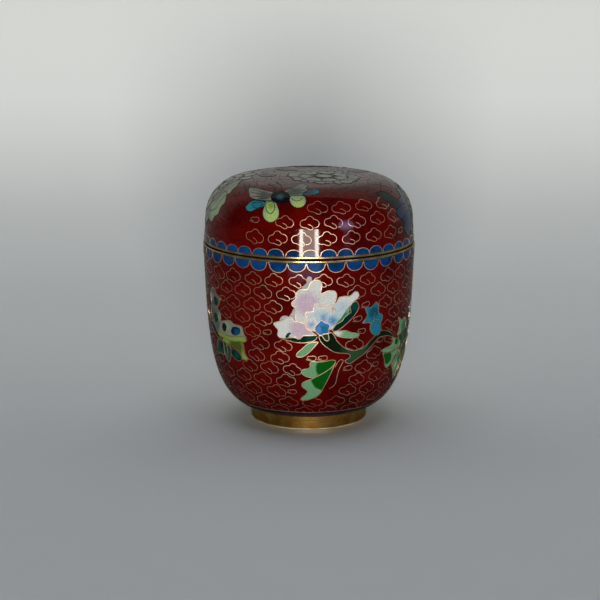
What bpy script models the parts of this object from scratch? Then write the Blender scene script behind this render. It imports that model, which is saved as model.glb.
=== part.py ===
"""Cloisonne tea caddy: an enamelled copper bowl and lift-off lid with gilt brass rings.

Every piece is turned about the Z axis. The caddy stands on its foot ring, with the origin
at the centre of the ring's flat underside and +Z up. Lengths are in metres.
"""

import math

import bpy

STEPS = 64                 # facets round each turned piece
GAP = 0.0003               # clearance between pieces that touch
WALL = 0.0020              # copper sheet with enamel on both faces

# Bowl, outside: a cubic curve from the mouth down to the foot
BOWL_MOUTH = (0.03795, 0.0638)
BOWL_WALL_HANDLE = (0.03667, 0.0322)
BOWL_TURN_HANDLE = (0.03628, 0.0087)
BOWL_FOOT = (0.0212, 0.0048)
BOWL_BASE = (0.0180, 0.0043)
BOWL_POINTS = 14           # points along that curve

# Foot ring
FOOT_OUTER = 0.0209        # at the flat underside
FOOT_FLARE = 0.0003        # how far the ring opens towards the bowl
FOOT_WALL = 0.0016
FOOT_EDGE = 0.0003         # worn outer edge of the underside

# Mouth ring: an outer band, a ledge over the bowl's wall and a neck that locates the lid
BAND_OUTER = 0.0380
BAND_HEIGHT = 0.0008
NECK_OUTER = 0.0349
NECK_WALL = 0.0010
NECK_ABOVE = 0.0052        # neck above the band
NECK_BELOW = 0.0040        # neck below the band, inside the bowl
NECK_LEAD = 0.0003         # chamfer that leads the lid on

# Lid: a side that leans in, a round shoulder and a gently crowned top
LID_RING_OUTER = 0.0377
LID_RING_HEIGHT = 0.0012
LID_RING_WALL = 0.0021
LID_SIDE = 0.0376          # radius of the enamelled side at its lower edge
LID_LEAN = 0.058           # radians that the side leans in
SHOULDER = 0.0146
CROWN = 0.200
SHOULDER_AT = (0.02246, 0.07355)
SHOULDER_POINTS = 9
CROWN_POINTS = 3

BAND_BOTTOM = BOWL_MOUTH[1]
BAND_TOP = BAND_BOTTOM + BAND_HEIGHT
LID_RING_BOTTOM = BAND_TOP + GAP
LID_BOTTOM = LID_RING_BOTTOM + LID_RING_HEIGHT


def clear_scene():
    for old in list(bpy.data.objects):
        bpy.data.objects.remove(old, do_unlink=True)


def enamelled_or_metal(name, colour, roughness, metallic):
    """A plain Principled material in the piece's own colour."""
    material = bpy.data.materials.new(name)
    material.use_nodes = True
    shader = material.node_tree.nodes["Principled BSDF"]
    shader.inputs["Base Color"].default_value = (*colour, 1.0)
    shader.inputs["Roughness"].default_value = roughness
    shader.inputs["Metallic"].default_value = metallic
    return material


def curve_points(start, leave, arrive, end, count):
    """Points on a cubic curve from start to end, pulled by its two handles."""
    points = []
    for i in range(count):
        t = i / (count - 1)
        weights = ((1 - t) ** 3, 3 * t * (1 - t) ** 2, 3 * t * t * (1 - t), t ** 3)
        corners = (start, leave, arrive, end)
        points.append(tuple(
            sum(w * corner[axis] for w, corner in zip(weights, corners)) for axis in (0, 1)))
    return points


def arc_points(centre, radius, first, last, count):
    """Points on an arc, with angles in radians measured up from the +X direction."""
    angles = [first + (last - first) * i / (count - 1) for i in range(count)]
    return [(centre[0] + radius * math.cos(a), centre[1] + radius * math.sin(a)) for a in angles]


def bowl_profile():
    """The bowl's outside, from the mouth down to the middle of its base."""
    wall = curve_points(
        (BOWL_MOUTH[0], BOWL_MOUTH[1] - GAP), BOWL_WALL_HANDLE, BOWL_TURN_HANDLE, BOWL_FOOT,
        BOWL_POINTS)
    return wall + [BOWL_BASE, (0.0, BOWL_BASE[1])]


def lid_profile():
    """The lid's outside, from the middle of the top down to the lower edge of the side."""
    tangent = math.atan2(SHOULDER_AT[1] - crown_centre(), SHOULDER_AT[0])
    crown = arc_points((0.0, crown_centre()), CROWN, math.pi / 2, tangent, CROWN_POINTS)
    shoulder = arc_points(SHOULDER_AT, SHOULDER, tangent, LID_LEAN, SHOULDER_POINTS)
    return [(0.0, crown[0][1])] + crown[1:] + shoulder[1:] + [(LID_SIDE, LID_BOTTOM + GAP)]


def crown_centre():
    """Height of the middle of the crown's sphere, which touches the shoulder from outside."""
    return SHOULDER_AT[1] - math.sqrt((CROWN - SHOULDER) ** 2 - SHOULDER_AT[0] ** 2)


def foot_profile():
    """Closed outline of the foot ring, whose top follows the bowl's underside."""
    slope = (BOWL_FOOT[1] - BOWL_BASE[1]) / (BOWL_FOOT[0] - BOWL_BASE[0])
    outer_top = FOOT_OUTER + FOOT_FLARE
    inner = FOOT_OUTER - FOOT_WALL
    outer_height = BOWL_FOOT[1] - GAP
    inner_height = outer_height - slope * (outer_top - inner)
    return [
        (outer_top, outer_height), (FOOT_OUTER, FOOT_EDGE), (FOOT_OUTER - FOOT_EDGE, 0.0),
        (inner, 0.0), (inner, inner_height)]


def mouth_profile():
    """Closed outline of the mouth ring: band and ledge outside, neck inside."""
    inner = NECK_OUTER - NECK_WALL
    top = BAND_TOP + NECK_ABOVE
    bottom = BAND_BOTTOM - NECK_BELOW
    return [
        (inner, top), (NECK_OUTER - NECK_LEAD, top), (NECK_OUTER, top - NECK_LEAD),
        (NECK_OUTER, BAND_TOP), (BAND_OUTER, BAND_TOP), (BAND_OUTER, BAND_BOTTOM),
        (NECK_OUTER, BAND_BOTTOM), (NECK_OUTER, bottom), (inner, bottom)]


def lid_ring_profile():
    """Closed outline of the plain ring round the lid's lower edge."""
    inner = LID_RING_OUTER - LID_RING_WALL
    return [
        (LID_RING_OUTER, LID_BOTTOM), (LID_RING_OUTER, LID_RING_BOTTOM),
        (inner, LID_RING_BOTTOM), (inner, LID_BOTTOM)]


def turned(name, profile, collection, material, closed):
    """A piece turned about Z from a profile in the XZ plane that runs down its outer side."""
    mesh = bpy.data.meshes.new(name)
    edges = [(i, i + 1) for i in range(len(profile) - 1)]
    if closed:
        edges.append((len(profile) - 1, 0))
    mesh.from_pydata([(r, 0.0, z) for r, z in profile], edges, [])
    piece = bpy.data.objects.new(name, mesh)
    collection.objects.link(piece)
    screw = piece.modifiers.new("Turn", "SCREW")
    screw.axis = "Z"
    screw.steps = STEPS
    screw.render_steps = STEPS
    screw.use_merge_vertices = True
    screw.merge_threshold = 0.00001
    screw.use_smooth_shade = True
    mesh.materials.append(material)
    return piece


def shell(name, profile, collection, material):
    """A turned skin given its wall inwards."""
    piece = turned(name, profile, collection, material, closed=False)
    wall = piece.modifiers.new("Wall", "SOLIDIFY")
    wall.thickness = WALL
    wall.offset = -1.0
    wall.use_even_offset = True
    return piece


def main():
    clear_scene()
    collection = bpy.data.collections.new("cloisonne_tea_caddy")
    bpy.context.scene.collection.children.link(collection)
    enamel = enamelled_or_metal("Oxblood enamel on copper", (0.20, 0.005, 0.004), 0.12, 0.0)
    gilt = enamelled_or_metal("Gilt brass", (0.70, 0.42, 0.14), 0.28, 1.0)
    shell("body_bowl", bowl_profile(), collection, enamel)
    shell("lid_dome", lid_profile(), collection, enamel)
    turned("foot_ring", foot_profile(), collection, gilt, closed=True)
    turned("mouth_ring", mouth_profile(), collection, gilt, closed=True)
    turned("lid_ring", lid_ring_profile(), collection, gilt, closed=True)


if __name__ == "__main__":
    main()
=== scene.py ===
"""Cloisonne tea caddy: enamelled copper bowl and lid, gilt wires and turned brass rings.

Laid out as a Blender add-on and run as a script. Finished meshes are in metres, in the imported
model's frame. The inlaid picture is drawn flat in millimetres and wrapped on to the turned
skins: x runs round the caddy to the right of its front, which is -Y, and y runs up along the
skin, from 0 at the rim between bowl and lid.
"""

import math
from collections import namedtuple

import bpy
import numpy as np
from bpy.props import FloatProperty, FloatVectorProperty, IntProperty, PointerProperty
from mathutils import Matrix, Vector


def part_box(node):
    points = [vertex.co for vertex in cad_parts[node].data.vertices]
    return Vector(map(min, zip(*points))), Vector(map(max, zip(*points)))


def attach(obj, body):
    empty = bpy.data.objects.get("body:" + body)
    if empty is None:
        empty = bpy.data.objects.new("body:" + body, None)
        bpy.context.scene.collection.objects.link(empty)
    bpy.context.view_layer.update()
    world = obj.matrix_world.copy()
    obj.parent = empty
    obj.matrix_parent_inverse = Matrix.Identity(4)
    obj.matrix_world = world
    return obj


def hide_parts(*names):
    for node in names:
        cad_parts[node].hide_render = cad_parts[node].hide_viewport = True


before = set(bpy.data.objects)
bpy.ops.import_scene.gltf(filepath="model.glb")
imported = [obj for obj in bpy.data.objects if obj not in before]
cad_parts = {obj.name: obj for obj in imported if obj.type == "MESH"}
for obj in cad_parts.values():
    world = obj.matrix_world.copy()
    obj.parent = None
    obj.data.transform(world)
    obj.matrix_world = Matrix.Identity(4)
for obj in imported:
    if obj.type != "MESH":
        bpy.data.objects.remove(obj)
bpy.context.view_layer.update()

bl_info = {
    "name": "Cloisonne tea caddy",
    "version": (1, 0, 0),
    "blender": (4, 5, 0),
    "location": "3D View > Sidebar > Tea caddy",
    "description": "Enamel, gilt wires and brass for a turned tea caddy, on its packed model",
    "category": "Mesh",
}

MM = 0.001
SEED = 11


# ---------------------------------------------------------------- outlines of the turned pieces

BOWL, LID, FOOT, MOUTH, LID_RING = (
    [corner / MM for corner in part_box(node)]
    for node in ("body_bowl", "lid_dome", "foot_ring", "mouth_ring", "lid_ring"))

# Lengths in millimetres, and pairs of a radius and a height
WALL = 2.0                           # copper sheet with enamel on both faces
GAP = 0.3                            # clearance between pieces that touch
BAND_BOTTOM = BOWL[1].z + GAP        # where the mouth ring's band starts
BAND_TOP = BAND_BOTTOM + 0.8
BOWL_HANDLES = ((36.67, 32.2), (36.28, 8.7))     # they pull the bowl's outside into its curve
BOWL_FOOT = (21.2, 4.8)              # where the foot ring meets the bowl
BOWL_BASE = (18.0, 4.3)              # edge of the bowl's flat underside
BOWL_TURN = 12.0                     # above here the bowl's inside follows its outside
LID_LEAN = 0.058                     # radians that the lid's side leans in
SHOULDER = 14.6                      # radius of the lid's shoulder, seen from the side
SHOULDER_AT = (22.46, 73.55)
CROWN = 200.0                        # radius of the lid's shallow crown
FOOT_WALL = 1.6
NECK = 34.9                          # radius of the neck that the lid sits on
NECK_WALL = 1.0
LID_RING_WALL = 2.1


def cubic(start, leave, arrive, end, count):
    """Points on the cubic curve from start to end that its two handles pull out."""
    t = np.linspace(0.0, 1.0, count)[:, None]
    corners = np.array([start, leave, arrive, end])
    return ((1 - t) ** 3 * corners[0] + 3 * t * (1 - t) ** 2 * corners[1]
            + 3 * t * t * (1 - t) * corners[2] + t ** 3 * corners[3])


def arc(centre, radius, first, last, count):
    """Points on an arc: the centre plus the radius times cosine and sine of the angle."""
    angle = np.linspace(first, last, count)
    return np.stack([centre[0] + radius * np.cos(angle), centre[1] + radius * np.sin(angle)], 1)


def bowl_outline(count):
    """Radius and height down the bowl's outside, from the mouth to where the foot meets it."""
    return cubic((BOWL[1].x, BOWL[1].z), *BOWL_HANDLES, BOWL_FOOT, count)


def lid_outline(count):
    """Radius and height up the lid's outside: leaning side, round shoulder, shallow crown."""
    crown_at = SHOULDER_AT[1] - math.sqrt((CROWN - SHOULDER) ** 2 - SHOULDER_AT[0] ** 2)
    tangent = math.atan2(SHOULDER_AT[1] - crown_at, SHOULDER_AT[0])
    shoulder = arc(SHOULDER_AT, SHOULDER, LID_LEAN, tangent, count)
    crown = arc((0.0, crown_at), CROWN, tangent, math.pi / 2, count)
    edge = np.array([[LID[1].x, LID_RING[1].z]])
    side = edge + (shoulder[0] - edge) * np.linspace(0.0, 1.0, count // 4)[:, None]
    return np.concatenate([side[:-1], shoulder, crown[1:]])


def lengths(points):
    """Distance along a line of points, starting from 0."""
    return np.concatenate([[0.0], np.cumsum(np.linalg.norm(np.diff(points, axis=0), axis=1))])


def beside(line, distance):
    """The line at a distance to the right of another: its direction turned a quarter round."""
    step = np.gradient(line, axis=0)
    step /= np.linalg.norm(step, axis=1, keepdims=True)
    return line + distance * np.stack([step[:, 1], -step[:, 0]], 1)


Skin = namedtuple("Skin", "y radius height out up top")


def skin(outline, start=0.0):
    """A turned skin that runs upwards, looked up by its length from start.

    The outward direction is the outline's direction turned a quarter round.
    """
    y = start + lengths(outline)
    step = np.gradient(outline, y, axis=0)
    return Skin(y, outline[:, 0], outline[:, 1], step[:, 1], -step[:, 0], y[-1])


BOWL_LENGTH = lengths(bowl_outline(1200))[-1]
BOWL_SKIN = skin(
    np.concatenate([bowl_outline(1200)[::-1], [(BOWL[1].x, BAND_BOTTOM)]]), -BOWL_LENGTH)
LID_SKIN = skin(lid_outline(800))


def lay(on, x, y, lift, turn=0.0, plan=False):
    """Points in metres where a flat drawing lies on a turned skin.

    Round the caddy, the angle is turn plus x divided by the skin's radius at y. A plan is drawn
    from the middle of the lid instead: its distance from the middle is length down the skin.
    Lift moves the point out along the skin's normal.
    """
    if plan:
        angle = turn + np.arctan2(x, -y)
        y = on.top - np.hypot(x, y)
        radius = np.interp(y, on.y, on.radius)
    else:
        radius = np.interp(y, on.y, on.radius)
        angle = turn + x / radius
    radius = radius + lift * np.interp(y, on.y, on.out)
    height = np.interp(y, on.y, on.height) + lift * np.interp(y, on.y, on.up)
    return MM * np.stack([radius * np.sin(angle), -radius * np.cos(angle), height], -1)


# ---------------------------------------------------------------- meshes from grids of points

class Patches:
    """Grids of points gathered for one mesh."""

    def __init__(self):
        self.points, self.faces, self.finish = [], [], []
        self.rim, self.core, self.blend = [], [], []
        self.count = 0

    def grid(self, points, round_rows=False, round_columns=False, pole=False, capped=False,
             flip=False, finish=0, rim=(0, 0, 0), core=(0, 0, 0), blend=0.0):
        """Adds grids[..., rows, columns, 3], whose faces look along rows cross columns.

        A round direction joins its last line to its first. A pole shrinks the last row to a
        point, so its faces are triangles. A capped grid closes the two ends of a tube.
        """
        rows, columns = points.shape[-3:-1]
        points = points.reshape(-1, rows, columns, 3)
        used = rows * columns - (columns - 1 if pole else 0)
        index = np.arange(rows * columns).reshape(rows, columns)
        if pole:
            index[-1] = index[-1, 0]
        cap = [index[0, ::-1], index[-1]] if capped else []
        if round_rows:
            index = np.concatenate([index, index[:1]], 0)
        if round_columns:
            index = np.concatenate([index, index[:, :1]], 1)
        quads = np.stack([index[:-1, :-1], index[1:, :-1], index[1:, 1:], index[:-1, 1:]], -1)
        triangles = np.zeros((0, 3), int)
        if pole:
            triangles = quads[-1][:, [0, 1, 3]]
            quads = quads[:-1]
        starts = self.count + used * np.arange(len(points))[:, None, None]
        for faces in (quads.reshape(-1, 4), triangles, np.array(cap)):
            if len(faces):
                every = (faces[None] + starts).reshape(-1, faces.shape[1])
                every = every[:, ::-1] if flip else every
                self.faces += every.tolist()
                self.finish.append(np.full(len(every), finish))
        total = used * len(points)
        self.points.append(points.reshape(len(points), -1, 3)[:, :used].reshape(-1, 3))
        self.rim.append(np.broadcast_to(rim, (total, 3)))
        self.core.append(np.broadcast_to(core, (total, 3)))
        flat = np.broadcast_to(blend, points.shape[:-1]).reshape(len(points), -1)[:, :used]
        self.blend.append(flat.reshape(-1))
        self.count += total


def make_object(name, patches, materials):
    """A smooth mesh object at the origin."""
    mesh = bpy.data.meshes.new(name)
    mesh.from_pydata(np.concatenate(patches.points), [], patches.faces, shade_flat=False)
    for material in materials:
        mesh.materials.append(material)
    made = bpy.data.objects.new(name, mesh)
    bpy.context.scene.collection.objects.link(made)
    return made


def make_piece(name, patches, materials, stands_for=(), glazed=False):
    """A piece that rides on the caddy, with sharp corners where they turn over 50 degrees."""
    piece = make_object(name, patches, materials)
    mesh = piece.data
    mesh.polygons.foreach_set("material_index", np.concatenate(patches.finish).astype(np.int32))
    if glazed:
        for label, parts in (("rim_glaze", patches.rim), ("core_glaze", patches.core)):
            values = np.concatenate(parts)
            layer = mesh.attributes.new(label, "FLOAT_COLOR", "POINT")
            layer.data.foreach_set("color", np.c_[values, np.ones(len(values))].ravel())
        layer = mesh.attributes.new("blend", "FLOAT", "POINT")
        layer.data.foreach_set("value", np.concatenate(patches.blend))
    mesh.set_sharp_from_angle(angle=math.radians(50.0))
    mesh.update()
    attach(piece, "root")
    if stands_for:
        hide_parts(*stands_for)


def revolve(patches, profile, **way):
    """Turns a profile of radius and height about Z, to faces that look out where it runs down.

    Each point is (radius sin a, -radius cos a, height), for every angle a round the caddy.
    """
    segments = bpy.context.scene.caddy_sizes.segments
    angle = np.arange(segments) * 2 * math.pi / segments
    radius, height = profile[:, :1], profile[:, 1:]
    points = [radius * np.sin(angle), -radius * np.cos(angle), height + 0 * angle]
    patches.grid(MM * np.stack(points, -1), round_columns=True, **way)


def eased(corners, ease, steps=5):
    """A closed profile with each corner rounded by a quadratic curve that starts ease away."""
    corners = np.array(corners, float)
    ease = np.broadcast_to(ease, len(corners))[:, None]
    before = np.roll(corners, 1, 0) - corners
    after = np.roll(corners, -1, 0) - corners
    before /= np.linalg.norm(before, axis=1, keepdims=True)
    after /= np.linalg.norm(after, axis=1, keepdims=True)
    t = np.linspace(0.0, 1.0, steps)[None, :, None]
    first, last = (corners + before * ease)[:, None], (corners + after * ease)[:, None]
    curve = (1 - t) ** 2 * first + 2 * t * (1 - t) * corners[:, None] + t * t * last
    lead, trail = first + before[:, None] * ease[:, None], last + after[:, None] * ease[:, None]
    return np.concatenate([lead, curve, trail], 1).reshape(-1, 2)


def through(points, steps, closed=True):
    """A smooth curve through the points, centripetal so that close points make tight turns.

    Between each two points it blends straight lines through four neighbours, with each
    interval as long as the square root of the distance that it spans.
    """
    points = np.array(points, float)
    if closed:
        points = np.concatenate([points[-1:], points, points[:2]])
    else:
        points = np.concatenate(
            [2 * points[:1] - points[1:2], points, 2 * points[-1:] - points[-2:-1]])
    spans = np.linalg.norm(np.diff(points, axis=0), axis=1) ** 0.5
    knots = np.concatenate([[0.0], np.cumsum(spans)])
    k = [knots[i:len(knots) - 3 + i, None, None] for i in range(4)]
    p = [points[i:len(points) - 3 + i, None] for i in range(4)]
    t = k[1] + (k[2] - k[1]) * np.linspace(0.0, 1.0, steps, endpoint=False)[None, :, None]

    def between(a, b, low, high):
        """The straight line that is at a where t is low, and at b where t is high."""
        return (a * (high - t) + b * (t - low)) / (high - low)

    one, two, three = (between(p[i], p[i + 1], k[i], k[i + 1]) for i in range(3))
    four, five = between(one, two, k[0], k[2]), between(two, three, k[1], k[3])
    curve = between(four, five, k[1], k[2]).reshape(-1, 2)
    return curve if closed else np.concatenate([curve, points[-2:-1]])


def evenly(points, count, bend=0.0):
    """The same line with count points, closer where it turns.

    Between two points lie equal sums of the line's length and of bend times the angle it turns.
    """
    step = np.diff(points, axis=0)
    heading = np.unwrap(np.arctan2(step[:, 1], step[:, 0]))
    turned = np.concatenate([[0.0], np.cumsum(np.abs(np.diff(heading)))])
    along = lengths(points) + bend * np.concatenate([[0.0], turned])
    wanted = np.linspace(0.0, along[-1], count)
    return np.stack([np.interp(wanted, along, points[:, axis]) for axis in (0, 1)], 1)


# ---------------------------------------------------------------- cells and wires

# An enamel cell inside an outline, and one between two edges. Each has a rim and a core colour:
# the core's shows nearer the focus than near, and the rim's beyond far.
Cell = namedtuple("Cell", "points rim core focus near far middle wired", defaults=(None, True))
Blade = namedtuple("Blade", "left right rim core focus near far wired", defaults=(True,))

CLOUD_LIFT = 0.03        # cloud wires stand lowest, so that picture cells cover them
CELL_LIFT = 0.05         # how far the enamel of a picture's first cell lies off the ground
CELL_STEP = 0.005        # each later cell of a picture lies this much higher
CELL_GRID = 0.9          # the longest side of a cell's faces towards its middle
BLADE_GRID = 0.8         # and along a blade
SKIRT = -0.15            # the edge of a cell turns down into the ground, under its wire


def spread(cell, x, y):
    """How much of the core colour shows: 1 nearer the focus than near, 0 beyond far."""
    away = np.hypot(x - cell.focus[0], y - cell.focus[1])
    return np.clip((cell.far - away) / (cell.far - cell.near), 0.0, 1.0)


def glaze(name):
    """The enamel or metal colour of that name, as the user has it."""
    return tuple(getattr(bpy.context.scene.caddy_colours, name))


def raised(level):
    """How high the cells of a level lie: each is a step over the one before."""
    return CELL_LIFT + CELL_STEP * level


def lay_enamel(patches, on, shape, place, flat, lift, **way):
    """Lays a flat grid on the skin in the shape's two glazes, or in those that replace them."""
    x, y = flat[..., 0], flat[..., 1]
    rim, core = (glaze(place.palette.get(name, name)) for name in (shape.rim, shape.core))
    patches.grid(lay(on, place.side * x, y, lift + 0 * x, place.turn, place.plan), rim=rim,
                 core=core, blend=spread(shape, x, y), **way)


def lay_cell(patches, on, cell, level, place):
    """One enamel cell as a grid that shrinks from its outline to its middle.

    P(t, w) = middle + w (outline(t) - middle), with w from 1 to 0.
    """
    outline = through(cell.points, 4)
    turns = np.roll(outline, -1, 0)
    if (outline[:, 0] * turns[:, 1] - outline[:, 1] * turns[:, 0]).sum() < 0:
        outline = outline[::-1]
    middle = np.array(cell.middle or outline.mean(0))
    reach = np.linalg.norm(outline - middle, axis=1).max()
    w = np.concatenate([[1.0], np.linspace(1.0, 0.0, max(3, math.ceil(reach / CELL_GRID)) + 1)])
    lift = np.full((len(w), 1), raised(level))
    lift[0] = SKIRT
    lay_enamel(patches, on, cell, place, middle + w[:, None, None] * (outline - middle), lift,
               round_columns=True, pole=True, flip=place.side > 0)
    return outline


def lay_blade(patches, on, blade, level, place):
    """One long enamel cell lofted between its two edges.

    P(t, w) = (1 - w) left(t) + w right(t), with both edges run at even speed from the base.
    """
    left, right = through(blade.left, 5, False), through(blade.right, 5, False)
    count = max(6, math.ceil(max(lengths(left)[-1], lengths(right)[-1]) / BLADE_GRID))
    left, right = evenly(left, count), evenly(right, count)
    width = np.linalg.norm(left - right, axis=1).max()
    w = np.linspace(0.0, 1.0, max(3, math.ceil(width / CELL_GRID)) + 1)
    w = np.concatenate([[0.0], w, [1.0]])[None, :, None]
    flat = (1 - w) * left[:, None] + w * right[:, None]
    lift = np.full(w.shape[1], raised(level))
    lift[[0, -1]] = SKIRT
    across, along = np.gradient(flat, axis=1), np.gradient(flat, axis=0)
    turn = (along[..., 0] * across[..., 1] - along[..., 1] * across[..., 0]).sum()
    lay_enamel(patches, on, blade, place, flat, lift, flip=(turn * place.side) < 0)
    return np.concatenate([left, right[::-1]])


# Where a drawing lies: turned round the caddy, wrapped or in plan, mirrored where side is -1,
# and with other glazes
Place = namedtuple("Place", "turn plan side palette", defaults=(0.0, False, 1, {}))

LINE_WIDTH = 0.85        # a free line's width, next to the wires round the cells
# Corners of a wire's section: across in half widths, and up in crowns. It sits in the enamel.
FINE_SECTION = np.array([(-2.0, -1.1), (0.0, 1.0), (2.0, -1.1)])
ROUND_SECTION = np.array([(-1.15, -1.6), (-0.9, 0.75), (0.0, 1.0), (0.9, 0.75), (1.15, -1.6)])


def lay_wire(patches, on, path, width, crown, section, closed=False, place=Place(), lift=0.0):
    """Gilt wires along flat paths[..., points, 2], as tubes of the given section.

    Each corner stands its half widths to the side of the path, which is the path's direction
    turned a quarter round, and its crowns off the skin. Lift raises the upper corners.
    """
    if closed:
        ahead = np.roll(path, -1, -2) - np.roll(path, 1, -2)
    else:
        ahead = np.gradient(path, axis=-2)
    ahead = ahead / np.maximum(np.linalg.norm(ahead, axis=-1, keepdims=True), 1e-9)
    side = np.stack([ahead[..., 1], -ahead[..., 0]], -1)[..., None, :]
    flat = path[..., None, :] - section[:, :1] * width / 2 * side
    x, y = flat[..., 0], flat[..., 1]
    height = section[:, 1] * crown + lift * (section[:, 1] > 0)
    points = lay(on, place.side * x, y, height + 0 * x, place.turn, place.plan)
    patches.grid(points, round_rows=closed, round_columns=True, capped=not closed,
                 flip=place.side < 0)


def lay_picture(enamel, wires, on, drawing, place, width, crown):
    """Lays a drawing's cells one over the other, and a wire round each that has one.

    Where a later cell covers a wire, the wire is left out. A free line lies on the last cell
    that it crosses, or on the ground.
    """
    for level, shape in enumerate(drawing.cells):
        laid = lay_blade if isinstance(shape, Blade) else lay_cell
        outline = laid(enamel, on, shape, level, place)
        if shape.wired:
            hidden = np.zeros(len(outline), bool)
            for later in drawing.cells[level + 1:]:
                hidden |= inside(outline_of(later), outline[:, 0], outline[:, 1])
            for run in shown_runs(outline, hidden):
                lay_wire(wires, on, run, width, crown, ROUND_SECTION, not hidden.any(), place,
                         raised(level))
    for points in drawing.lines:
        line = through(points, 4, False)
        under = [raised(level) for level, shape in enumerate(drawing.cells)
                 if inside(outline_of(shape), line[:, 0], line[:, 1]).any()]
        lay_wire(wires, on, line, width * LINE_WIDTH, crown, ROUND_SECTION, False, place,
                 max(under, default=0.0))


def outline_of(shape):
    """A cell's whole outline, from its points or from its two edges."""
    if isinstance(shape, Blade):
        return np.concatenate([through(shape.left, 2, False), through(shape.right, 2, False)[::-1]])
    return through(shape.points, 2)


def inside(edge, x, y):
    """Whether points lie inside an outline.

    One does if a line from it to the right crosses the outline an odd number of times.
    """
    after = np.roll(edge, -1, 0)
    y = y[..., None]
    rises = (edge[:, 1] > y) != (after[:, 1] > y)
    slope = (after[:, 0] - edge[:, 0]) / np.where(
        after[:, 1] == edge[:, 1], 1e-9, after[:, 1] - edge[:, 1])
    ahead = x[..., None] < edge[:, 0] + slope * (y - edge[:, 1])
    return (rises & ahead).sum(-1) % 2 == 1


def shown_runs(path, hidden):
    """The runs of a closed path that aren't hidden, each with one hidden point at both ends."""
    if not hidden.any():
        return [path]
    hidden = hidden & np.roll(hidden, 1) & np.roll(hidden, -1)
    first = int(np.argmax(hidden))
    path, hidden = np.roll(path, -first, 0), np.roll(hidden, -first)
    cuts = np.flatnonzero(hidden[1:] != hidden[:-1]) + 1
    parts = zip(np.split(path, cuts), np.split(hidden, cuts))
    return [part for part, gone in parts if len(part) > 3 and not gone[0]]


# ---------------------------------------------------------------- drawings, in millimetres

Drawing = namedtuple("Drawing", "cells lines", defaults=((), ()))

CLOUD = (
    (-0.6, -0.5), (0.7, -1.1), (1.2, -2.1), (0.3, -2.6), (-1.4, -1.8), (-3.0, -1.4),
    (-3.6, -0.3), (-3.1, 0.9), (-2.0, 1.2), (-1.3, 1.5), (-0.9, 2.2), (0.1, 2.55), (1.1, 2.2),
    (1.6, 1.4), (2.6, 1.1), (3.4, 0.3), (3.5, -0.8), (2.8, -1.7), (1.6, -1.9))
TAILED_LOOP = (
    (-3.1, -0.9), (-1.4, -1.3), (0.6, -1.35), (1.7, -1.0), (2.2, 0.1), (1.8, 1.1), (0.7, 1.4),
    (-0.5, 1.1), (-1.9, 0.9), (-2.6, 0.2), (-2.2, -0.6), (-0.9, -0.55))
# Rows of clouds: the height of each, and where one of its clouds stands
BOWL_CLOUD_ROWS = (
    (-5.9, -12.2), (-10.6, -7.9), (-15.4, -12.5), (-20.0, -16.7), (-24.6, -12.4), (-29.2, -17.4),
    (-33.7, -10.2), (-38.0, -14.0), (-42.4, -17.0), (-47.0, -12.0), (-51.6, -7.5), (-55.8, -2.0))
LID_CLOUD_ROWS = (
    (6.1, -2.5), (11.8, 8.3), (17.0, 2.8), (22.0, 6.9), (27.0, 2.4), (32.0, 6.2), (37.0, 2.0),
    (42.0, 5.0))

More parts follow.
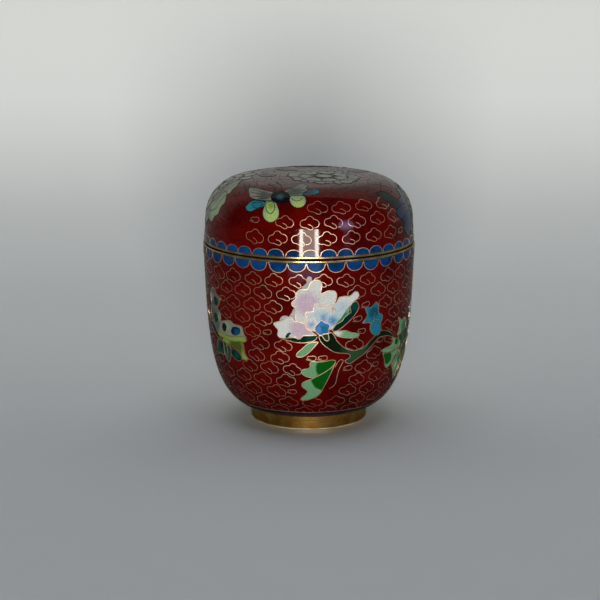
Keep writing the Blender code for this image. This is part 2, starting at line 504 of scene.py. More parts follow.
PEONY = Drawing(cells=(
    # tips of petals behind
    Cell(((-0.9, -4.9), (-0.2, -4.2), (0.7, -4.5), (0.9, -5.4), (0.4, -6.8), (-0.2, -8.6),
          (-2.9, -9.2), (-1.9, -7.4), (-1.0, -6.6)), "blush", "rose", (0.0, -5.0), 0.2, 1.6,
         None, False),
    Cell(((-7.0, -18.8), (-6.1, -17.2), (-5.3, -15.6), (-4.4, -15.4), (-4.4, -20.2),
          (-5.8, -19.8)), "blush", "rose", (-5.2, -17.6), 0.2, 1.4, None, False),
    Cell(((-10.3, -19.8), (-9.5, -18.6), (-8.3, -18.3), (-7.0, -18.8), (-8.4, -20.6),
          (-10.0, -20.9)), "blush", "rose", (-8.6, -19.2), 0.2, 1.4, None, False),
    # right petal
    Cell(((8.2, -14.3), (9.4, -13.6), (10.3, -12.0), (11.4, -11.7), (12.8, -11.6),
          (14.1, -11.7), (15.2, -11.0), (16.2, -10.3), (17.3, -10.6), (17.7, -11.7),
          (17.2, -12.8), (16.2, -13.8), (14.8, -15.2), (13.2, -17.2), (12.0, -18.9),
          (10.9, -20.2), (9.4, -21.2), (8.4, -22.4), (7.7, -23.3), (5.6, -22.0), (6.0, -17.0)),
         "white", "frost", (10.0, -18.0), 2.5, 7.5, (10.2, -16.6)),
    # upper petal
    Cell(((-1.3, -21.6), (-2.8, -20.6), (-4.4, -20.2), (-4.8, -18.0), (-4.8, -15.4),
          (-6.0, -14.5), (-6.0, -13.5), (-5.1, -12.6), (-4.6, -11.8), (-4.6, -10.6),
          (-4.0, -9.5), (-3.1, -8.9), (-2.0, -8.9), (-0.7, -8.7), (-0.1, -7.6), (0.5, -6.4),
          (1.6, -5.6), (2.8, -5.5), (3.8, -6.0), (4.3, -7.2), (4.1, -8.8), (4.0, -10.2),
          (5.0, -10.0), (6.2, -9.5), (7.6, -9.4), (8.9, -9.7), (9.4, -10.7), (9.4, -12.0),
          (9.0, -13.3), (8.2, -14.3), (7.6, -16.0), (3.0, -18.0), (0.0, -19.6)),
         "white", "rose", (-0.8, -14.0), 1.6, 6.6, (-0.4, -13.4)),
    # inner petal
    Cell(((-1.0, -22.3), (-0.8, -20.4), (-0.9, -18.9), (-1.4, -17.7), (-0.9, -16.9), (0.4, -16.8),
          (1.3, -16.5), (1.5, -15.1), (1.8, -14.1), (2.8, -13.9), (3.6, -14.7), (4.6, -15.1),
          (6.0, -14.4), (7.7, -14.4), (7.9, -16.2), (8.3, -18.4), (8.4, -20.6),
          (7.6, -22.9), (4.5, -24.2), (1.2, -23.7), (0.0, -23.4)),
         "white", "frost", (4.0, -20.6), 2.0, 6.5, (4.0, -18.6), False),
    # blue sifted into both petals
    Cell(((-0.8, -20.0), (0.4, -18.6), (1.8, -18.8), (2.6, -20.4), (2.2, -22.4), (1.2, -23.6),
          (-0.2, -23.3), (-0.9, -22.0)), "white", "iris", (0.7, -21.3), -1.4, 2.7, None, False),
    Cell(((3.4, -18.0), (4.2, -16.6), (5.8, -16.6), (6.6, -18.4), (6.2, -20.8), (3.6, -20.8)),
         "frost", "sky", (4.9, -18.9), -1.2, 2.8, (4.9, -18.8), False),
    Cell(((5.9, -20.0), (7.2, -18.2), (9.0, -17.4), (10.8, -18.2), (11.0, -19.8), (9.6, -21.0),
          (8.2, -22.2), (6.8, -21.9)),
         "frost", "sky", (8.2, -20.2), -0.8, 3.4, (8.2, -19.8), False),
    Cell(((9.2, -16.8), (9.8, -15.2), (11.4, -14.6), (12.6, -15.4), (12.0, -17.2), (10.6, -18.0)),
         "frost", "rose", (11.3, -15.9), -1.2, 2.0, (10.9, -16.2), False),
    # left petal
    Cell(((-1.2, -21.8), (-2.2, -20.8), (-4.0, -20.4), (-5.3, -20.1), (-6.0, -19.0),
          (-7.0, -18.8), (-8.2, -19.3), (-9.1, -20.1), (-11.0, -20.6), (-12.5, -21.3),
          (-11.9, -22.5), (-10.9, -23.5), (-11.1, -25.3), (-10.3, -26.3), (-8.9, -26.4),
          (-7.2, -26.0), (-4.9, -25.8), (-4.3, -26.5), (-3.5, -26.7), (-2.7, -26.2),
          (-2.1, -25.3), (-0.2, -25.2), (2.2, -25.1), (1.2, -24.2), (0.2, -23.4), (-0.8, -22.6)),
         "white", "rose", (-2.8, -23.0), 1.6, 6.2, (-5.4, -22.8)),
    # heart of the flower
    Cell(((3.2, -20.7), (3.7, -20.1), (4.3, -19.9), (4.8, -20.3), (5.5, -20.8), (6.4, -21.0),
          (7.0, -21.7), (6.9, -23.0), (6.7, -24.2), (6.2, -25.0), (4.7, -25.2), (3.5, -25.1),
          (2.6, -24.3), (2.0, -23.4), (1.9, -22.3), (2.5, -21.3)),
         "sky", "azure", (5.1, -23.0), 0.7, 2.4, (4.4, -22.7)),
    Cell(((2.3, -22.6), (3.0, -21.8), (4.0, -22.4), (4.0, -23.8), (3.2, -24.4), (2.5, -23.8)),
         "sky", "iris", (3.2, -23.0), -0.6, 1.4, (3.2, -23.0), False),
    # droplet between two petals
    Cell(((7.6, -14.6), (7.7, -15.8), (8.0, -16.9), (8.6, -17.3), (8.9, -16.4), (8.7, -15.2),
          (8.3, -14.4)), "white", "rose", (8.3, -15.8), 0.2, 1.2, (8.3, -15.8)),
    # left sepal
    Blade(((2.6, -25.2), (0.0, -25.3), (-2.2, -25.4), (-3.0, -26.4), (-3.8, -26.7),
           (-4.6, -26.1), (-7.0, -26.2), (-9.3, -26.7)),
          ((2.7, -25.7), (2.2, -26.7), (0.5, -27.5), (-2.0, -27.9), (-4.5, -27.8), (-7.0, -27.3),
           (-9.3, -26.8)), "pine", "teal", (0.8, -26.2), 0.8, 3.0),
    Cell(((-8.3, -26.3), (-7.9, -25.0), (-7.0, -24.3), (-6.3, -24.5), (-6.9, -25.3),
          (-7.2, -26.3)), "pine", "teal", (-7.4, -25.0), 0.2, 1.2, (-7.4, -25.2), False),
    # right sepal, with a lighter strip along the petal
    Cell(((16.9, -12.9), (15.4, -14.2), (13.9, -15.6), (12.5, -17.3), (11.1, -19.2), (9.6, -21.0),
          (10.6, -21.6), (12.4, -19.6), (13.4, -18.2), (14.6, -17.4), (14.4, -15.8),
          (15.4, -14.6), (16.6, -13.8)), "fern", "mint", (13.8, -16.8), 0.3, 1.8,
         (13.4, -17.2), False),
    Cell(((8.0, -23.6), (8.6, -22.4), (9.3, -21.6), (10.4, -21.0), (11.6, -20.2), (12.3, -19.2),
          (13.6, -18.2), (14.7, -17.4), (14.4, -15.9), (15.0, -14.6), (15.9, -13.9),
          (16.9, -14.0), (17.6, -15.1), (17.7, -16.2), (16.6, -18.0), (14.7, -20.1),
          (12.7, -21.8), (10.9, -23.1), (9.2, -23.9)),
         "pine", "teal", (16.2, -15.6), 0.6, 2.4, (13.4, -19.2)),
    # leaflets
    Blade(((3.0, -27.6), (1.0, -27.7), (-1.0, -28.6), (-2.6, -30.3), (-4.3, -31.8),
           (-4.4, -32.7)),
          ((3.0, -27.8), (2.0, -29.0), (0.5, -30.8), (-1.5, -32.6), (-3.2, -33.2),
           (-4.2, -33.0)), "mint", "mint", (0.0, -30.0), 0.0, 1.0),
    Blade(((8.4, -24.1), (11.0, -23.9), (13.0, -24.0), (15.0, -24.9), (17.0, -25.3),
           (18.0, -25.8)),
          ((8.4, -24.4), (9.5, -25.6), (12.5, -26.5), (15.5, -26.9), (17.2, -26.8),
           (18.0, -26.1)), "mint", "white", (9.0, -24.5), 0.5, 4.0),
    # stem
    Blade(((3.3, -25.4), (3.5, -26.5), (4.5, -28.2), (6.5, -30.0), (8.5, -31.4), (10.5, -32.0),
           (14.0, -32.6), (14.7, -33.3), (14.2, -34.2), (12.6, -35.1), (13.2, -35.9),
           (14.8, -36.2), (16.5, -35.2), (20.5, -33.0), (24.5, -29.7), (26.5, -28.3),
           (31.0, -28.3), (35.0, -29.8)),
          ((7.5, -24.3), (8.6, -25.4), (9.5, -27.3), (11.0, -29.0), (12.7, -30.4),
           (14.5, -31.3), (15.6, -31.5), (16.5, -31.6), (17.4, -31.5), (18.2, -31.3),
           (19.0, -31.2), (20.0, -30.8), (21.0, -30.2), (23.0, -28.5), (25.5, -26.9),
           (27.5, -25.9), (31.0, -26.6), (35.0, -29.2)),
          "bark", "moss", (17.0, -33.5), 1.0, 9.0),
    Cell(((4.4, -25.1), (4.9, -26.2), (5.5, -27.0), (6.2, -27.3), (6.8, -26.8), (6.7, -25.8),
          (6.4, -24.8)), "bark", "moss", (5.8, -26.0), 0.3, 1.5, (5.8, -25.9)),
    # bud: calyx, then petals
    Cell(((26.0, -27.2), (24.5, -27.0), (22.9, -25.7), (22.5, -24.3), (22.9, -22.5),
          (24.2, -21.4), (26.0, -21.6), (27.4, -22.4), (27.1, -23.6), (27.5, -25.4)),
         "turquoise", "azure", (25.2, -24.4), 0.4, 2.8, (25.0, -24.4)),
    Cell(((22.9, -22.5), (21.5, -22.0), (19.4, -21.9), (20.3, -20.7), (21.2, -19.3),
          (20.6, -17.9), (20.4, -16.6), (21.4, -16.5), (22.6, -16.7), (23.9, -15.8),
          (25.1, -15.0), (25.9, -15.9), (26.1, -17.4), (26.2, -19.0), (27.8, -20.0),
          (28.1, -21.2), (27.4, -22.5), (26.0, -21.6), (24.2, -21.4)),
         "turquoise", "lagoon", (24.0, -18.6), 0.8, 3.4, (23.7, -19.6)),
), lines=(
    # upper edge of the inner petal
    ((-1.4, -21.9), (-0.8, -20.6), (-0.8, -19.2), (-1.4, -17.8), (-0.9, -16.9), (0.4, -16.8),
     (1.3, -16.5), (1.5, -15.1), (1.8, -14.1), (2.8, -13.9), (3.6, -14.7), (4.6, -15.1),
     (6.0, -14.4), (7.7, -14.4)),
    # its edge on the left
    ((-1.4, -21.9), (-0.9, -22.8), (0.0, -23.4), (1.0, -23.5)),
    # stalks from the stem to the leaf below
    ((12.2, -35.1), (11.3, -34.5), (10.4, -35.0), (9.6, -36.2), (9.1, -37.2)),
    ((12.0, -35.4), (10.6, -38.0), (9.8, -40.8), (9.3, -43.4), (8.4, -44.7), (7.0, -45.6)),
    # fold in the bud
    ((24.3, -21.4), (24.0, -20.2), (24.6, -18.8)),
))

TWO_TONE_LEAF = Drawing(cells=(
    # upper half
    Cell(((9.2, -35.5), (9.0, -34.7), (7.2, -34.5), (5.4, -34.9), (3.0, -35.0), (0.8, -34.9),
          (0.2, -35.7), (0.3, -36.8), (-0.4, -37.5), (-2.4, -38.0), (-2.7, -39.0),
          (-1.8, -40.1), (-0.2, -40.8), (1.8, -41.0), (3.6, -40.0), (6.0, -38.6), (8.0, -37.0)),
         "mint", "leaf", (6.8, -37.4), 3.9, 5.2, (3.4, -37.6)),
    # lower half
    Cell(((1.8, -41.0), (0.3, -41.8), (-1.2, -42.3), (-2.5, -43.3), (-2.4, -44.6),
          (-1.3, -45.6), (-0.6, -46.6), (-1.2, -47.8), (-2.6, -49.2), (-3.0, -50.2),
          (-1.8, -50.5), (0.4, -49.8), (2.3, -48.9), (3.8, -47.4), (5.0, -45.0), (6.5, -41.8),
          (7.9, -38.7), (9.2, -35.5), (8.0, -37.0), (6.0, -38.6), (3.6, -40.0)),
         "mint", "leaf", (5.4, -41.4), 4.3, 5.2, (2.6, -44.0)),
))

LOBED_LEAF = Drawing(cells=(
    # heart of the leaf
    Cell(((38.2, -29.6), (40.0, -28.4), (43.0, -27.6), (46.0, -28.2), (49.0, -30.0),
          (50.5, -33.5), (49.5, -37.5), (46.5, -40.5), (43.5, -41.5), (41.8, -38.8),
          (40.0, -36.2), (39.5, -33.0)), "leaf", "forest", (43.5, -33.0), 2.0, 7.0, (44.5, -33.8)),
    # upper lobe
    Cell(((37.9, -22.9), (38.3, -24.3), (39.1, -26.0), (38.7, -27.4), (37.6, -29.3),
          (39.2, -29.6), (41.5, -28.4), (44.4, -28.2), (45.4, -26.5), (44.4, -24.4),
          (42.6, -23.9), (41.0, -24.6), (39.6, -23.9)),
         "mint", "fern", (42.6, -27.0), 0.8, 3.4, (41.4, -26.6)),
    # left lobe
    Cell(((33.8, -29.6), (35.2, -29.9), (36.8, -30.4), (38.6, -31.2), (40.3, -32.6),
          (39.6, -34.0), (37.4, -34.3), (34.9, -34.6), (32.0, -34.9), (29.8, -34.4),
          (28.1, -33.6), (29.6, -32.9), (31.6, -32.7), (33.8, -32.2), (34.5, -31.0)),
         "mint", "leaf", (37.2, -31.7), 0.9, 1.7, (35.4, -32.8)),
    # lower left lobe
    Cell(((28.8, -34.5), (31.2, -35.0), (34.5, -35.1), (38.0, -34.6), (38.9, -35.6),
          (36.6, -37.2), (34.8, -38.9), (33.0, -40.4), (31.2, -40.7), (30.2, -39.2),
          (29.9, -37.2), (29.3, -35.8)),
         "mint", "leaf", (31.6, -36.8), 2.1, 3.0, (33.0, -37.0)),
    # bottom lobe
    Cell(((39.6, -35.8), (37.8, -37.3), (35.8, -38.8), (34.8, -40.4), (35.5, -42.4),
          (36.6, -44.4), (37.6, -46.9), (38.8, -46.0), (39.8, -43.6), (41.2, -41.4),
          (42.4, -40.4), (42.0, -38.0), (40.8, -36.2)),
         "mint", "fern", (40.2, -38.6), 0.8, 3.0, (38.6, -40.4)),
    # lobes on the far side
    Cell(((43.6, -41.5), (42.0, -43.2), (41.6, -46.0), (43.2, -47.8), (45.0, -46.4),
          (47.6, -46.0), (48.6, -43.0), (50.6, -40.6), (49.2, -38.0), (46.5, -40.4)),
         "mint", "leaf", (46.0, -42.0), 1.2, 2.4, (45.8, -43.0)),
    Cell(((49.6, -30.6), (51.6, -29.0), (53.4, -30.4), (53.0, -32.8), (55.2, -34.6),
          (53.6, -37.6), (51.4, -38.6), (49.7, -37.4), (50.5, -33.5)),
         "mint", "leaf", (51.4, -34.4), 1.2, 2.4, (51.6, -34.2)),
), lines=(
    # veins
    ((39.8, -35.0), (42.0, -34.0), (45.0, -33.2), (48.0, -33.2)),
    ((41.2, -28.6), (42.6, -31.0), (43.6, -33.6)),
    ((36.9, -42.8), (38.6, -39.6), (40.6, -37.0), (42.6, -34.2)),
    ((30.2, -34.0), (34.0, -33.6), (38.0, -33.8)),
    ((45.0, -44.6), (44.6, -40.6), (44.2, -36.4)),
))

FLYING_BUTTERFLY = Drawing(cells=(
    # wing behind, in two lobes with their spots
    Cell(((-44.4, -13.6), (-42.6, -12.9), (-41.0, -13.1), (-39.9, -14.5), (-38.4, -15.1),
          (-37.1, -16.2), (-37.9, -17.8), (-38.8, -19.1), (-40.3, -19.7), (-42.5, -19.7),
          (-44.2, -19.0), (-44.8, -16.4)), "mist", "putty", (-43.4, -16.2), 0.4, 2.4,
         (-41.4, -16.6)),
    Cell(((-44.4, -19.4), (-42.3, -19.9), (-40.2, -19.8), (-38.3, -20.4), (-37.3, -22.0),
          (-37.1, -24.2), (-37.9, -26.4), (-39.0, -28.0), (-40.8, -28.1), (-42.8, -26.2),
          (-44.9, -23.0)), "mist", "celadon", (-38.2, -23.0), -0.6, 3.0, (-40.6, -23.6)),
    Cell(((-41.9, -17.2), (-41.3, -15.9), (-39.8, -15.9), (-38.7, -17.0), (-39.3, -18.6),
          (-41.2, -18.7)), "pine", "teal", (-40.0, -17.2), 0.2, 1.2, None, False),
    Cell(((-42.6, -23.4), (-41.6, -21.9), (-39.8, -22.0), (-38.9, -23.4), (-39.6, -25.0),
          (-41.6, -24.8)), "pine", "forest", (-40.4, -23.2), 0.2, 1.4, None, False),
    # wing in front, with a dark spot and a navy panel
    Cell(((-38.9, -28.6), (-38.0, -26.6), (-37.1, -24.4), (-35.4, -23.7), (-33.0, -23.0),
          (-31.0, -22.8), (-29.4, -23.6), (-27.0, -23.8), (-25.4, -24.1), (-24.9, -25.5),
          (-24.6, -26.6), (-23.5, -28.0), (-26.0, -28.0), (-29.0, -28.5), (-32.0, -28.7),
          (-35.4, -28.5)), "putty", "celadon", (-33.4, -25.0), -0.4, 3.0, (-31.5, -26.0)),
    Cell(((-36.2, -26.4), (-35.8, -24.8), (-34.5, -24.4), (-33.4, -25.4), (-33.8, -26.9),
          (-35.2, -27.6)), "ink", "pine", (-35.0, -26.6), 0.3, 1.4, None, False),
    Cell(((-30.9, -27.0), (-30.2, -25.2), (-28.4, -24.6), (-26.5, -24.9), (-26.2, -26.4),
          (-27.4, -27.5), (-29.4, -27.9)), "navy", "lagoon", (-27.6, -26.8), 0.4, 2.4, None, False),
    # yellow-green bands
    Cell(((-39.6, -28.8), (-37.0, -28.4), (-34.0, -28.6), (-31.0, -28.7), (-28.0, -28.1),
          (-25.0, -27.8), (-23.3, -28.6), (-24.2, -29.6), (-27.0, -29.8), (-30.0, -30.3),
          (-33.0, -30.1), (-36.0, -29.9), (-38.4, -30.1)),
         "lime", "lime", (0.0, 0.0), 0.0, 1.0, (-31.0, -29.3)),
    Blade(((-36.0, -30.0), (-32.0, -30.3), (-28.0, -30.0), (-25.3, -29.8), (-24.6, -31.8),
           (-24.4, -33.5), (-23.6, -34.8), (-22.6, -35.5)),
          ((-36.0, -31.3), (-33.0, -31.8), (-29.8, -32.4), (-27.4, -33.2), (-26.4, -34.0),
           (-25.7, -35.0), (-25.6, -36.2), (-23.4, -36.3)),
          "lime", "olive", (-28.6, -32.0), 2.0, 5.0),
    # lower wing and its stripes
    Cell(((-30.9, -33.4), (-28.7, -33.2), (-27.0, -34.1), (-25.8, -35.6), (-26.2, -36.8),
          (-28.0, -37.2), (-30.0, -36.3), (-31.2, -35.0)),
         "pine", "teal", (-28.2, -35.2), 0.4, 2.2, (-28.6, -35.2)),
    Cell(((-36.2, -31.5), (-33.4, -31.9), (-31.3, -33.0), (-31.3, -35.2), (-31.7, -37.2),
          (-32.7, -38.8), (-34.4, -37.6), (-35.4, -34.6)),
         "forest", "slate", (-34.2, -37.0), 0.6, 2.4, (-33.4, -34.8)),
    Cell(((-39.6, -31.4), (-36.2, -31.5), (-35.4, -34.6), (-35.9, -36.6), (-38.4, -36.4),
          (-41.4, -37.4), (-40.6, -34.6)),
         "forest", "ink", (-37.0, -33.4), 0.4, 2.6, (-38.0, -34.0)),
    # body
    Blade(((-46.4, -25.6), (-43.8, -25.5), (-41.4, -27.2), (-39.2, -29.2), (-37.0, -30.6)),
          ((-46.6, -26.6), (-44.4, -28.0), (-42.0, -29.4), (-39.8, -30.6), (-37.2, -30.9)),
          "ink", "pine", (-45.0, -26.6), 0.5, 3.0),
), lines=(
    # feelers, and a vein in the lower wing
    ((-46.6, -26.0), (-48.0, -23.0), (-47.4, -20.4), (-46.4, -20.6)),
    ((-46.8, -26.4), (-49.6, -24.6), (-50.2, -22.4), (-49.2, -21.8)),
    ((-33.9, -32.2), (-33.2, -35.0), (-33.4, -37.6)),
))

RESTING_BUTTERFLY = Drawing(cells=(
    # forewings
    Cell(((-11.8, 22.9), (-15.0, 23.9), (-18.3, 24.5), (-21.4, 25.0), (-23.0, 24.5),
          (-23.5, 23.2), (-22.6, 21.2), (-22.4, 20.2), (-20.3, 19.4), (-17.2, 19.1),
          (-14.2, 19.2), (-11.6, 19.8)),
         "putty", "mist", (-16.6, 21.0), 0.4, 4.2, (-17.4, 21.8)),
    Cell(((-9.8, 22.8), (-8.9, 24.4), (-6.4, 26.9), (-4.7, 29.8), (-2.9, 32.4), (-1.2, 31.4),
          (-0.5, 29.2), (-1.2, 27.2), (0.2, 25.4), (-0.4, 23.7), (-2.6, 22.4), (-6.0, 22.0),
          (-8.8, 21.8)),
         "putty", "mist", (-4.4, 24.8), 0.4, 4.2, (-4.0, 25.8)),
    # hindwings
    Cell(((-15.5, 18.4), (-17.8, 18.9), (-20.5, 18.8), (-22.4, 17.4), (-23.7, 15.8),
          (-22.9, 14.6), (-21.0, 14.5), (-19.4, 15.4), (-17.4, 16.2), (-15.9, 17.2)),
         "sea", "turquoise", (-18.6, 17.6), 0.4, 4.6, (-19.4, 16.8)),
    Cell(((-15.4, 18.9), (-16.0, 17.0), (-16.6, 14.4), (-16.0, 12.6), (-14.2, 11.4),
          (-12.4, 11.7), (-10.9, 13.0), (-10.4, 15.0), (-10.9, 17.0), (-11.9, 18.8),
          (-13.6, 19.4)),
         "celadon", "pistachio", (-12.6, 13.6), 1.4, 4.2, (-13.5, 15.6)),
    Cell(((-6.9, 20.6), (-6.5, 18.8), (-5.4, 17.4), (-3.8, 16.9), (-2.2, 17.5), (-1.2, 19.0),
          (-1.2, 20.8), (-1.8, 22.0), (-4.2, 22.2), (-6.4, 21.8)),
         "celadon", "pistachio", (-3.6, 18.4), 1.0, 3.4, (-4.0, 19.6)),
    Cell(((-2.2, 22.7), (-0.8, 25.2), (1.4, 26.6), (3.2, 25.6), (3.4, 23.8), (1.8, 22.7),
          (-0.4, 22.2)), "slate", "turquoise", (3.4, 24.2), 0.2, 3.0, (0.9, 24.2)),
    Cell(((-15.2, 18.2), (-15.3, 16.2), (-14.6, 14.8), (-13.4, 14.5), (-12.4, 15.4),
          (-12.1, 17.2), (-12.6, 18.6), (-13.8, 19.0)),
         "pistachio", "lime", (-13.6, 17.4), 0.4, 2.2, (-13.7, 16.8)),
    # body
    Cell(((-13.5, 20.4), (-13.2, 22.4), (-12.0, 23.8), (-10.0, 24.4), (-8.0, 23.8),
          (-6.9, 22.2), (-6.9, 20.4), (-8.2, 19.1), (-10.2, 18.6), (-12.4, 18.9)),
         "ink", "slate", (-10.2, 21.4), 0.2, 2.2, (-10.2, 21.4)),
), lines=(
    # veins of the forewings
    ((-13.5, 21.2), (-15.6, 20.3), (-18.4, 19.6)),
    ((-13.5, 21.7), (-16.4, 21.0), (-21.2, 20.4)),
    ((-13.4, 22.1), (-16.8, 21.9), (-22.2, 22.2)),
    ((-13.3, 22.5), (-16.6, 22.9), (-21.6, 24.0)),
    ((-7.0, 22.6), (-4.2, 23.4), (-0.9, 24.2)),
    ((-7.2, 23.0), (-4.2, 24.8), (-1.2, 26.2)),
    ((-7.4, 23.4), (-4.8, 25.8), (-1.6, 29.6)),
    ((-7.8, 23.8), (-5.6, 26.8), (-2.9, 31.4)),
    # marks on the hindwings
    ((-20.6, 16.6), (-19.2, 15.9), (-17.4, 16.7), (-16.6, 17.6), (-17.6, 18.3), (-19.6, 18.1),
     (-20.8, 17.4), (-20.6, 16.6)),
    ((-6.2, 20.9), (-5.2, 20.0), (-4.0, 19.8), (-2.8, 20.4), (-2.4, 21.4)),
    # feelers
    ((-11.8, 23.4), (-12.6, 26.0), (-13.8, 28.4), (-15.2, 29.0)),
    ((-9.6, 23.6), (-9.8, 27.0), (-10.6, 30.6), (-12.2, 32.4)),
))


def from_middle(at, angle, out, across):
    """Points at distances out from a middle along an angle, and across it to the left."""
    return np.stack([at[0] + out * math.cos(angle) - across * math.sin(angle),
                     at[1] + out * math.sin(angle) + across * math.cos(angle)], 1)


def round_flower(at, radius, petals, turn, rim, core, heart, heart_core):
    """A many-petalled flower seen from above.

    Each petal fills its share of the circle: its outline is a fan between two spokes, closed
    by three bumps, turned by its number times a full turn over the number of petals. Two rings
    of petals stand round a scalloped heart, and each outer petal has two veins.
    """
    fan = np.array([(0.42, -0.62), (0.62, -0.9), (0.84, -0.93), (0.96, -0.7), (0.92, -0.4),
                    (1.04, -0.1), (1.03, 0.2), (0.93, 0.45), (0.96, 0.75), (0.84, 0.95),
                    (0.62, 0.9), (0.42, 0.62)])
    half = math.tan(math.pi / petals)
    cells, lines = [], []
    for ring, (reach, low) in enumerate(((1.0, 0.0), (0.62, 0.26))):
        for number in range(petals):
            angle = turn + (number + 0.5 * ring) * 2 * math.pi / petals
            out = radius * (low * (1 - reach) + reach * fan[:, 0])
            out = out * (1 + 0.05 * math.sin(5 * angle))
            points = from_middle(at, angle, out, out * fan[:, 1] * half)
            cells.append(Cell(points, rim, core, at, radius * reach * 0.45,
                              radius * reach * 0.92, tuple(points.mean(0))))
            for side in (-0.4, 0.35) if ring == 0 else ():
                vein = radius * np.array([0.7, 0.8, 0.92])
                lines.append(from_middle(at, angle, vein, vein * side * half))
    around = np.linspace(0.0, 2 * math.pi, 24, endpoint=False)
    reach = radius * 0.26 * (1 + 0.1 * np.cos(6 * around))
    centre = np.stack([at[0] + reach * np.cos(around), at[1] + reach * np.sin(around)], 1)
    cells.append(Cell(centre, heart, heart_core, at, radius * 0.05, radius * 0.26, at))
    return Drawing(tuple(cells), lines)


def spray_leaf(base, tip, width, rim, core):
    """A pointed leaf from base to tip, each edge bowed out by width, with its midrib."""
    base, tip = np.array(base, float), np.array(tip, float)
    t = np.linspace(0.0, 1.0, 7)[:, None]
    ahead = tip - base
    side = np.array([-ahead[1], ahead[0]]) / np.linalg.norm(ahead)
    bow = width * np.sin(math.pi * t) * (1.15 - 0.5 * t)
    spine = base + ahead * t
    left, right = spine + bow * side, spine - bow * side
    length = np.linalg.norm(ahead)
    blade = Blade(left, right, rim, core, base + 0.3 * ahead, 0.2 * length, 0.5 * length)
    return Drawing((blade,), (spine[1:-1],))


# Pictures on the lid in plan: left shoulder, right shoulder, crown and the sprays between them
LEFT_FLOWER = Drawing(cells=(
    # outer petals, and one turned over in front of them
    Cell(((-25.1, -12.3), (-25.4, -14.1), (-27.0, -15.1), (-28.4, -16.7), (-29.7, -16.3),
          (-30.3, -17.9), (-31.4, -19.7), (-33.4, -19.5), (-34.6, -20.0), (-36.1, -20.5),
          (-38.4, -18.7), (-40.2, -18.3), (-42.2, -16.1), (-42.6, -12.4), (-45.9, -9.4),
          (-44.9, -5.0), (-47.4, -1.5), (-45.2, 2.6), (-46.3, 6.4), (-43.0, 9.2), (-42.2, 12.8),
          (-38.4, 13.8), (-36.4, 17.4), (-32.6, 16.0), (-29.6, 18.2), (-27.4, 14.8),
          (-23.6, 14.2), (-23.5, 10.6), (-19.8, 8.2), (-21.2, 4.4), (-18.4, 1.0), (-21.2, -2.4),
          (-19.8, -6.2), (-23.2, -8.4)),
         "celadon", "putty", (-34.0, -2.0), 10.0, 15.5, (-33.0, -1.0)),
    Cell(((-29.6, -15.2), (-31.6, -16.3), (-34.2, -16.5), (-36.0, -16.8), (-38.2, -14.6),
          (-39.3, -12.6), (-37.9, -9.9), (-34.3, -12.1), (-30.8, -12.8)),
         "celadon", "putty", (-34.0, -12.0), 1.0, 4.0, (-34.8, -14.0)),
) + round_flower((-33.2, -0.6), 9.6, 7, 0.3, "putty", "celadon", "lime", "olive").cells, lines=(
    # edges between the outer petals
    ((-37.9, -9.9), (-39.4, -11.5), (-40.9, -14.1), (-42.2, -16.1)),
    ((-39.6, -7.4), (-42.6, -12.4)),
    ((-42.4, -3.4), (-44.9, -5.0)),
    ((-42.2, 1.6), (-45.2, 2.6)),
    ((-39.4, 6.4), (-43.0, 9.2)),
    ((-35.8, 8.8), (-38.4, 13.8)),
    ((-32.6, 9.2), (-32.6, 16.0)),
    ((-28.8, 7.6), (-27.4, 14.8)),
    ((-26.0, 5.2), (-23.5, 10.6)),
    ((-24.4, 2.2), (-21.2, 4.4)),
    ((-24.2, -2.6), (-21.2, -2.4)),
    ((-26.0, -6.2), (-23.2, -8.4)),
))
RIGHT_FLOWER = Drawing(cells=(
    # leaf, then the outer petals
    Blade(((23.7, -21.2), (25.6, -18.5), (27.6, -17.6), (30.2, -17.0), (32.7, -16.2),
           (34.6, -16.9)),
          ((23.7, -21.4), (25.9, -22.3), (28.1, -22.1), (30.6, -21.8), (32.3, -21.6),
           (34.4, -20.9)), "ink", "pine", (28.0, -19.6), 0.4, 2.6),
    Cell(((33.5, -21.4), (34.1, -22.8), (35.9, -22.3), (38.2, -21.2), (40.4, -20.4),
          (41.3, -21.7), (43.9, -20.3), (46.8, -18.2), (46.6, -13.6), (49.4, -10.4),
          (48.0, -5.4), (49.8, -1.0), (47.4, 3.0), (47.8, 7.8), (44.4, 9.4), (43.2, 13.4),
          (39.4, 11.8), (36.4, 12.6), (35.4, 8.6), (32.4, 6.4), (33.6, 2.6), (31.2, -0.8),
          (33.2, -4.0), (31.4, -8.4), (33.8, -11.2), (33.0, -15.4), (34.6, -17.4)),
         "slate", "navy", (36.5, -19.0), 3.5, 9.0, (40.6, -5.0)),
) + round_flower((40.6, -3.0), 7.6, 7, 0.1, "slate", "mist", "lime", "olive").cells, lines=(
    # edges between the outer petals
    ((37.2, -11.0), (34.6, -17.4)),
    ((39.6, -11.2), (38.2, -21.2)),
    ((43.2, -10.0), (46.6, -13.6)),
    ((46.4, -6.2), (48.0, -5.4)),
    ((47.0, -0.6), (47.4, 3.0)),
    ((43.0, 4.2), (44.4, 9.4)),
    ((39.4, 4.8), (39.4, 11.8)),
    ((36.2, 3.0), (35.4, 8.6)),
))
CROWN_FLOWER = round_flower((5.2, -8.0), 12.2, 7, 0.1, "putty", "sage", "olive", "celadon")
LID_SPRAYS = (
    spray_leaf((14.0, 4.0), (22.0, 12.0), 2.6, "sage", "forest"),
    spray_leaf((-4.0, 4.0), (-12.0, 10.0), 2.6, "sage", "forest"),
    spray_leaf((-12.0, -6.0), (-18.0, -2.0), 2.4, "sage", "forest"),
    round_flower((1.0, 26.5), 8.4, 7, 0.4, "blush", "sage", "olive", "sage"),
    spray_leaf((-24.0, 22.0), (-15.0, 24.0), 2.6, "sage", "forest"),
    spray_leaf((28.0, 22.0), (20.0, 26.0), 2.6, "sage", "forest"),
)


# ---------------------------------------------------------------- finishes

